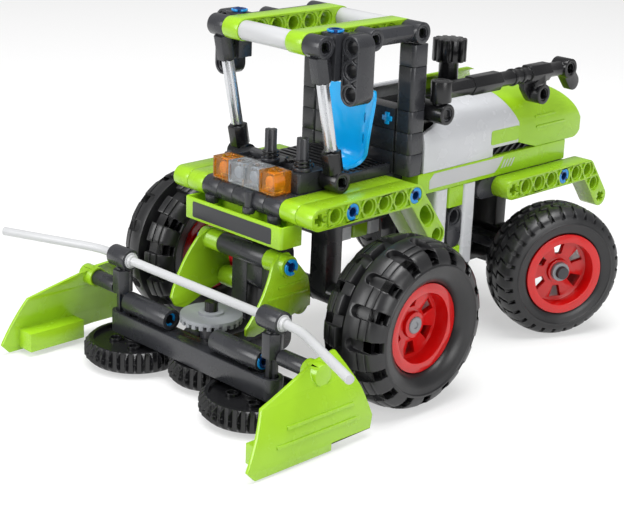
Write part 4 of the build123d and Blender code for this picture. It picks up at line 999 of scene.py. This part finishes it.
def make_seat():
    """A one-piece bucket seat, bent up at its sides, with two slits in its back."""
    form = bmesh.new()
    rows = []
    for index, (x, z, half, wing) in enumerate(SEAT_LINE):
        before = SEAT_LINE[max(index - 1, 0)]
        after = SEAT_LINE[min(index + 1, len(SEAT_LINE) - 1)]
        run = Vector((after[0] - before[0], 0, after[1] - before[1])).normalized()
        normal = Vector((run.z, 0, -run.x))
        middle = grid(x, SEAT_MIDDLE, z)
        rows.append([
            form.verts.new(middle + LEFT * share * half * MM + normal * wing * MM * abs(share) ** SEAT_BEND)
            for share in SEAT_SHARES
        ])
    for index, (row, following) in enumerate(zip(rows, rows[1:])):
        for column in range(len(SEAT_SHARES) - 1):
            if index in SEAT_SLIT_ROWS and column == SEAT_SLIT_COLUMN:
                continue
            form.faces.new((row[column], row[column + 1], following[column + 1], following[column]))
    data = bpy.data.meshes.new("seat_shell")
    form.to_mesh(data)
    form.free()
    seat = add_piece("seat_shell", data, SEAT_BLUE, "chassis")
    seat.modifiers.clear()
    smooth = seat.modifiers.new("bend", "SUBSURF")
    smooth.levels = smooth.render_levels = 2
    solid = seat.modifiers.new("wall", "SOLIDIFY")
    solid.thickness = SEAT_THICK
    solid.offset = 0
    round_off(seat, SEAT_EDGE)
    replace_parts(seat, "seat")


# Header

# Three points of each panel's bow, in millimetres from the middle and over the deck
SIDE_PANEL_ARC = circle_through((67.6, -66.4), (65.6, -50.4), (57.6, -34.4))
CHEEK_ARC = circle_through((18.8, -44.0), (22.0, -31.2), (18.8, -15.2))
# Ends of each raised line, as x and z in steps of the grid
SIDE_PANEL_LINES = (((5.2, -6.53), (1.5, -6.53)), ((5.85, -7.15), (1.4, -7.15)))
SIDE_PANEL_LINE = (0.07, 0.45 * MM)
CHEEK_LINES = (((0.6, -3.36), (-1.0, -3.3)), ((1.2, -3.8), (-1.15, -3.77)))
CHEEK_LINE = (0.06, 0.4 * MM)


def on_arc(middle_y, middle_z, radius):
    """A function that gives how far out a bowed panel's face lies at a height."""
    def face_y(z):
        rise = (z - DECK_Z) / MM
        return (middle_y + math.sqrt(max(0.0, radius**2 - (rise - middle_z) ** 2))) * MM
    return face_y


def make_embossing():
    """Raised lines on the header's panels."""
    lines = Form()
    for side in (-1, 1):
        for ends, (half, thick), bow in (
            (SIDE_PANEL_LINES, SIDE_PANEL_LINE, SIDE_PANEL_ARC), (CHEEK_LINES, CHEEK_LINE, CHEEK_ARC),
        ):
            for pair in ends:
                shell_patch(lines, side, ribbon(pair, half), thick, on_arc(*bow))
    add_piece("header_lines", lines, LIME, "header", FINE_EDGE)


CUTTERS = (
    # name, x and y of its axle in steps of the grid, radius that its tooth roots stand on, in millimetres
    ("left_cutter", 3, 4, 17.0), ("middle_cutter", 2, 0, 13.0), ("right_cutter", 3, -4, 17.0),
)


CUTTER_FOOT = -8
CUTTER_TOP = -7.03
DISH_DEPTH = 1.6 * MM
DISH_BORE = 9.7 * MM
DISH_RIM = 1.4
TIER_GAP = 0.5 * MM
TIER_REACH = (3, 0.9)
# The four ringed holes: how far from the axle, how deep, then length, radius, sides and bore of each
RING_PLACE = (7.6 * MM, 1.7 * MM)
RING_SIZE = (1.1 * MM, 2.35 * MM, 28, 1.7 * MM)


def dress_cutters(nodes):
    """Dished tops with ringed holes, and teeth split into two tiers."""
    for name, x, y, root in CUTTERS:
        base = grid(x, y, CUTTER_FOOT)
        top = grid(x, y, CUTTER_TOP)
        cuts = Form()
        cuts.rod(top - UP * DISH_DEPTH, UP, DISH_DEPTH + PROUD, (root - DISH_RIM) * MM, 64, DISH_BORE)
        middle = base + UP * (top - base).length / 2
        outer, inner = TIER_REACH
        cuts.rod(middle - UP * TIER_GAP / 2, UP, TIER_GAP, (root + outer) * MM, 96, (root + inner) * MM)
        dress_node(nodes[name], FINE_EDGE, add_cutter(f"{name}_cuts", cuts, name))
        rings = Form()
        reach, depth = RING_PLACE
        for index in range(4):
            turn = math.tau * (index + 0.5) / 4
            spot = top + Vector((math.cos(turn), math.sin(turn), 0)) * reach - UP * depth
            rings.rod(spot, UP, *RING_SIZE)
        add_piece(f"{name}_rings", rings, BLACK, name, FINE_EDGE)


# Inner faces of the hose's rings in steps of the grid; length, radius, sides and bore of each sleeve
SLEEVE_PLACES = ((3, 4.35, -3.5), (3, 5.5, -3.5))
HOSE_SLEEVE = (1.0 * MM, 2.9 * MM, 32, 1.7 * MM)


def make_header():
    """White sleeves in the rings that hold the hose."""
    sleeves = Form()
    for side in (-1, 1):
        for place in SLEEVE_PLACES:
            sleeves.rod(mirrored(place, side), LEFT * side, *HOSE_SLEEVE)
    add_piece("hose_sleeves", sleeves, WHITE, "header", FINE_EDGE)


FINE_NODES = (
    "crown_gear", "left_cutter", "middle_cutter", "right_cutter", "knob", "tie_rod",
    "left_knuckle", "right_knuckle",
)


def dress_rest(nodes):
    """Soft edges for every CAD node that has no recesses of its own and is still shown."""
    for name, node in nodes.items():
        if node.modifiers or name.endswith("tyre") or name == "seat":
            continue
        dress_node(node, FINE_EDGE if name in FINE_NODES else EDGE)


# Scene around the toy


FLOOR_HALF = 5.0
FLOOR_COLOUR = (0.86, 0.86, 0.86, 1)
FLOOR_WHITE_SHARE = 0.5
WORLD_LIGHT = 0.36


def make_floor():
    """A pale floor that reads white from the camera and keeps the toy's shadow."""
    half = FLOOR_HALF
    mesh = bpy.data.meshes.new("floor")
    corners = [(-half, -half, 0), (half, -half, 0), (half, half, 0), (-half, half, 0)]
    mesh.from_pydata(corners, [], [(0, 1, 2, 3)])
    floor = bpy.data.objects.new("floor", mesh)
    bpy.context.scene.collection.objects.link(floor)
    material = bpy.data.materials.new("pale_floor")
    material.use_nodes = True
    tree = material.node_tree
    tree.nodes.clear()
    path = tree.nodes.new("ShaderNodeLightPath")
    seen, either, share = (tree.nodes.new("ShaderNodeMath") for step in range(3))
    seen.operation = either.operation = "MAXIMUM"
    share.operation = "MULTIPLY"
    share.inputs[1].default_value = FLOOR_WHITE_SHARE
    matt = tree.nodes.new("ShaderNodeBsdfDiffuse")
    matt.inputs["Color"].default_value = FLOOR_COLOUR
    glow = tree.nodes.new("ShaderNodeEmission")
    glow.inputs["Color"].default_value = (1, 1, 1, 1)
    glow.inputs["Strength"].default_value = 1.0
    mix = tree.nodes.new("ShaderNodeMixShader")
    output = tree.nodes.new("ShaderNodeOutputMaterial")
    for source, target in (
        (path.outputs["Is Camera Ray"], seen.inputs[0]), (path.outputs["Is Glossy Ray"], seen.inputs[1]),
        (seen.outputs[0], either.inputs[0]), (path.outputs["Is Transmission Ray"], either.inputs[1]),
        (either.outputs[0], share.inputs[0]), (share.outputs[0], mix.inputs["Fac"]),
        (matt.outputs[0], mix.inputs[1]), (glow.outputs[0], mix.inputs[2]),
        (mix.outputs[0], output.inputs["Surface"]),
    ):
        tree.links.new(source, target)
    mesh.materials.append(material)


def make_world():
    """Soft studio surroundings: white to the eye, gentler as light."""
    world = bpy.data.worlds.new("studio")
    bpy.context.scene.world = world
    world.use_nodes = True
    tree = world.node_tree
    tree.nodes.clear()
    path = tree.nodes.new("ShaderNodeLightPath")
    pick = tree.nodes.new("ShaderNodeMix")
    pick.data_type = "FLOAT"
    pick.inputs["A"].default_value = WORLD_LIGHT
    pick.inputs["B"].default_value = 1.0
    back = tree.nodes.new("ShaderNodeBackground")
    back.inputs["Color"].default_value = (1, 1, 1, 1)
    output = tree.nodes.new("ShaderNodeOutputWorld")
    tree.links.new(path.outputs["Is Camera Ray"], pick.inputs["Factor"])
    tree.links.new(pick.outputs["Result"], back.inputs["Strength"])
    tree.links.new(back.outputs[0], output.inputs["Surface"])


LAMPS = (
    # name, place, size, watts
    ("overhead_softbox", (0.05, 0.1, 1.1), 0.75, 13.5),
    ("front_softbox", (1.0, -0.25, 0.5), 0.6, 7.5),
    ("side_softbox", (0.2, 1.1, 0.45), 0.6, 5.0),
)
LAMP_AIM = (0, 0, 0.05)


def make_lamps():
    """Large soft lamps that all face the toy's middle."""
    aim = Vector(LAMP_AIM)
    for name, place, size, watts in LAMPS:
        light = bpy.data.lights.new(name, "AREA")
        light.shape = "SQUARE"
        light.size = size
        light.energy = watts
        lamp = bpy.data.objects.new(name, light)
        bpy.context.scene.collection.objects.link(lamp)
        lamp.location = place
        lamp.rotation_mode = "QUATERNION"
        lamp.rotation_quaternion = (aim - Vector(place)).to_track_quat("-Z", "Y")


CAMERA_PLACE = (398.2 * MM, 377.0 * MM, 218.0 * MM)
CAMERA_AZIMUTH = 135.8
CAMERA_ELEVATION = 17.7
CAMERA_ROLL = 1.85
CAMERA_LENS = 88.0
CAMERA_SHIFT = (0.0337, -0.0513)


def make_camera():
    """The photograph's own point of view."""
    turn, rise, roll = map(math.radians, (CAMERA_AZIMUTH, CAMERA_ELEVATION, CAMERA_ROLL))
    back = Vector((math.sin(turn) * math.cos(rise), -math.cos(turn) * math.cos(rise), math.sin(rise)))
    right = Vector((math.cos(turn), math.sin(turn), 0))
    top = back.cross(right)
    right_rolled = math.cos(roll) * right + math.sin(roll) * top
    top_rolled = math.cos(roll) * top - math.sin(roll) * right
    data = bpy.data.cameras.new("camera")
    data.lens = CAMERA_LENS
    data.shift_x, data.shift_y = CAMERA_SHIFT
    data.clip_start = 0.01
    data.clip_end = 50
    camera = bpy.data.objects.new("camera", data)
    bpy.context.scene.collection.objects.link(camera)
    facing = Matrix((right_rolled, top_rolled, back)).transposed().to_4x4()
    camera.matrix_world = Matrix.Translation(CAMERA_PLACE) @ facing
    bpy.context.scene.camera = camera


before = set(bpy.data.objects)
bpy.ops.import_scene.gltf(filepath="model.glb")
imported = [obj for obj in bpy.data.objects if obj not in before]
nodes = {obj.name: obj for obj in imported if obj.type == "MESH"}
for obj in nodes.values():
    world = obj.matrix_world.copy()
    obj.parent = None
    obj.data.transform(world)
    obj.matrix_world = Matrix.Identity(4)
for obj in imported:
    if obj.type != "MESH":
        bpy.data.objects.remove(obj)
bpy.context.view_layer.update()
bpy.context.scene.view_settings.view_transform = "Standard"
paint_nodes(nodes)
make_camera()
dress_fenders(nodes)
dress_roof(nodes)
dress_struts(nodes)
make_pins(nodes)
make_wheels()
make_panel_trim()
make_bumper()
make_lamp_cores(nodes)
make_tube_inserts()
make_cab()
make_seat()
make_header()
make_embossing()
dress_cutters(nodes)
dress_rest(nodes)
make_floor()
make_world()
make_lamps()
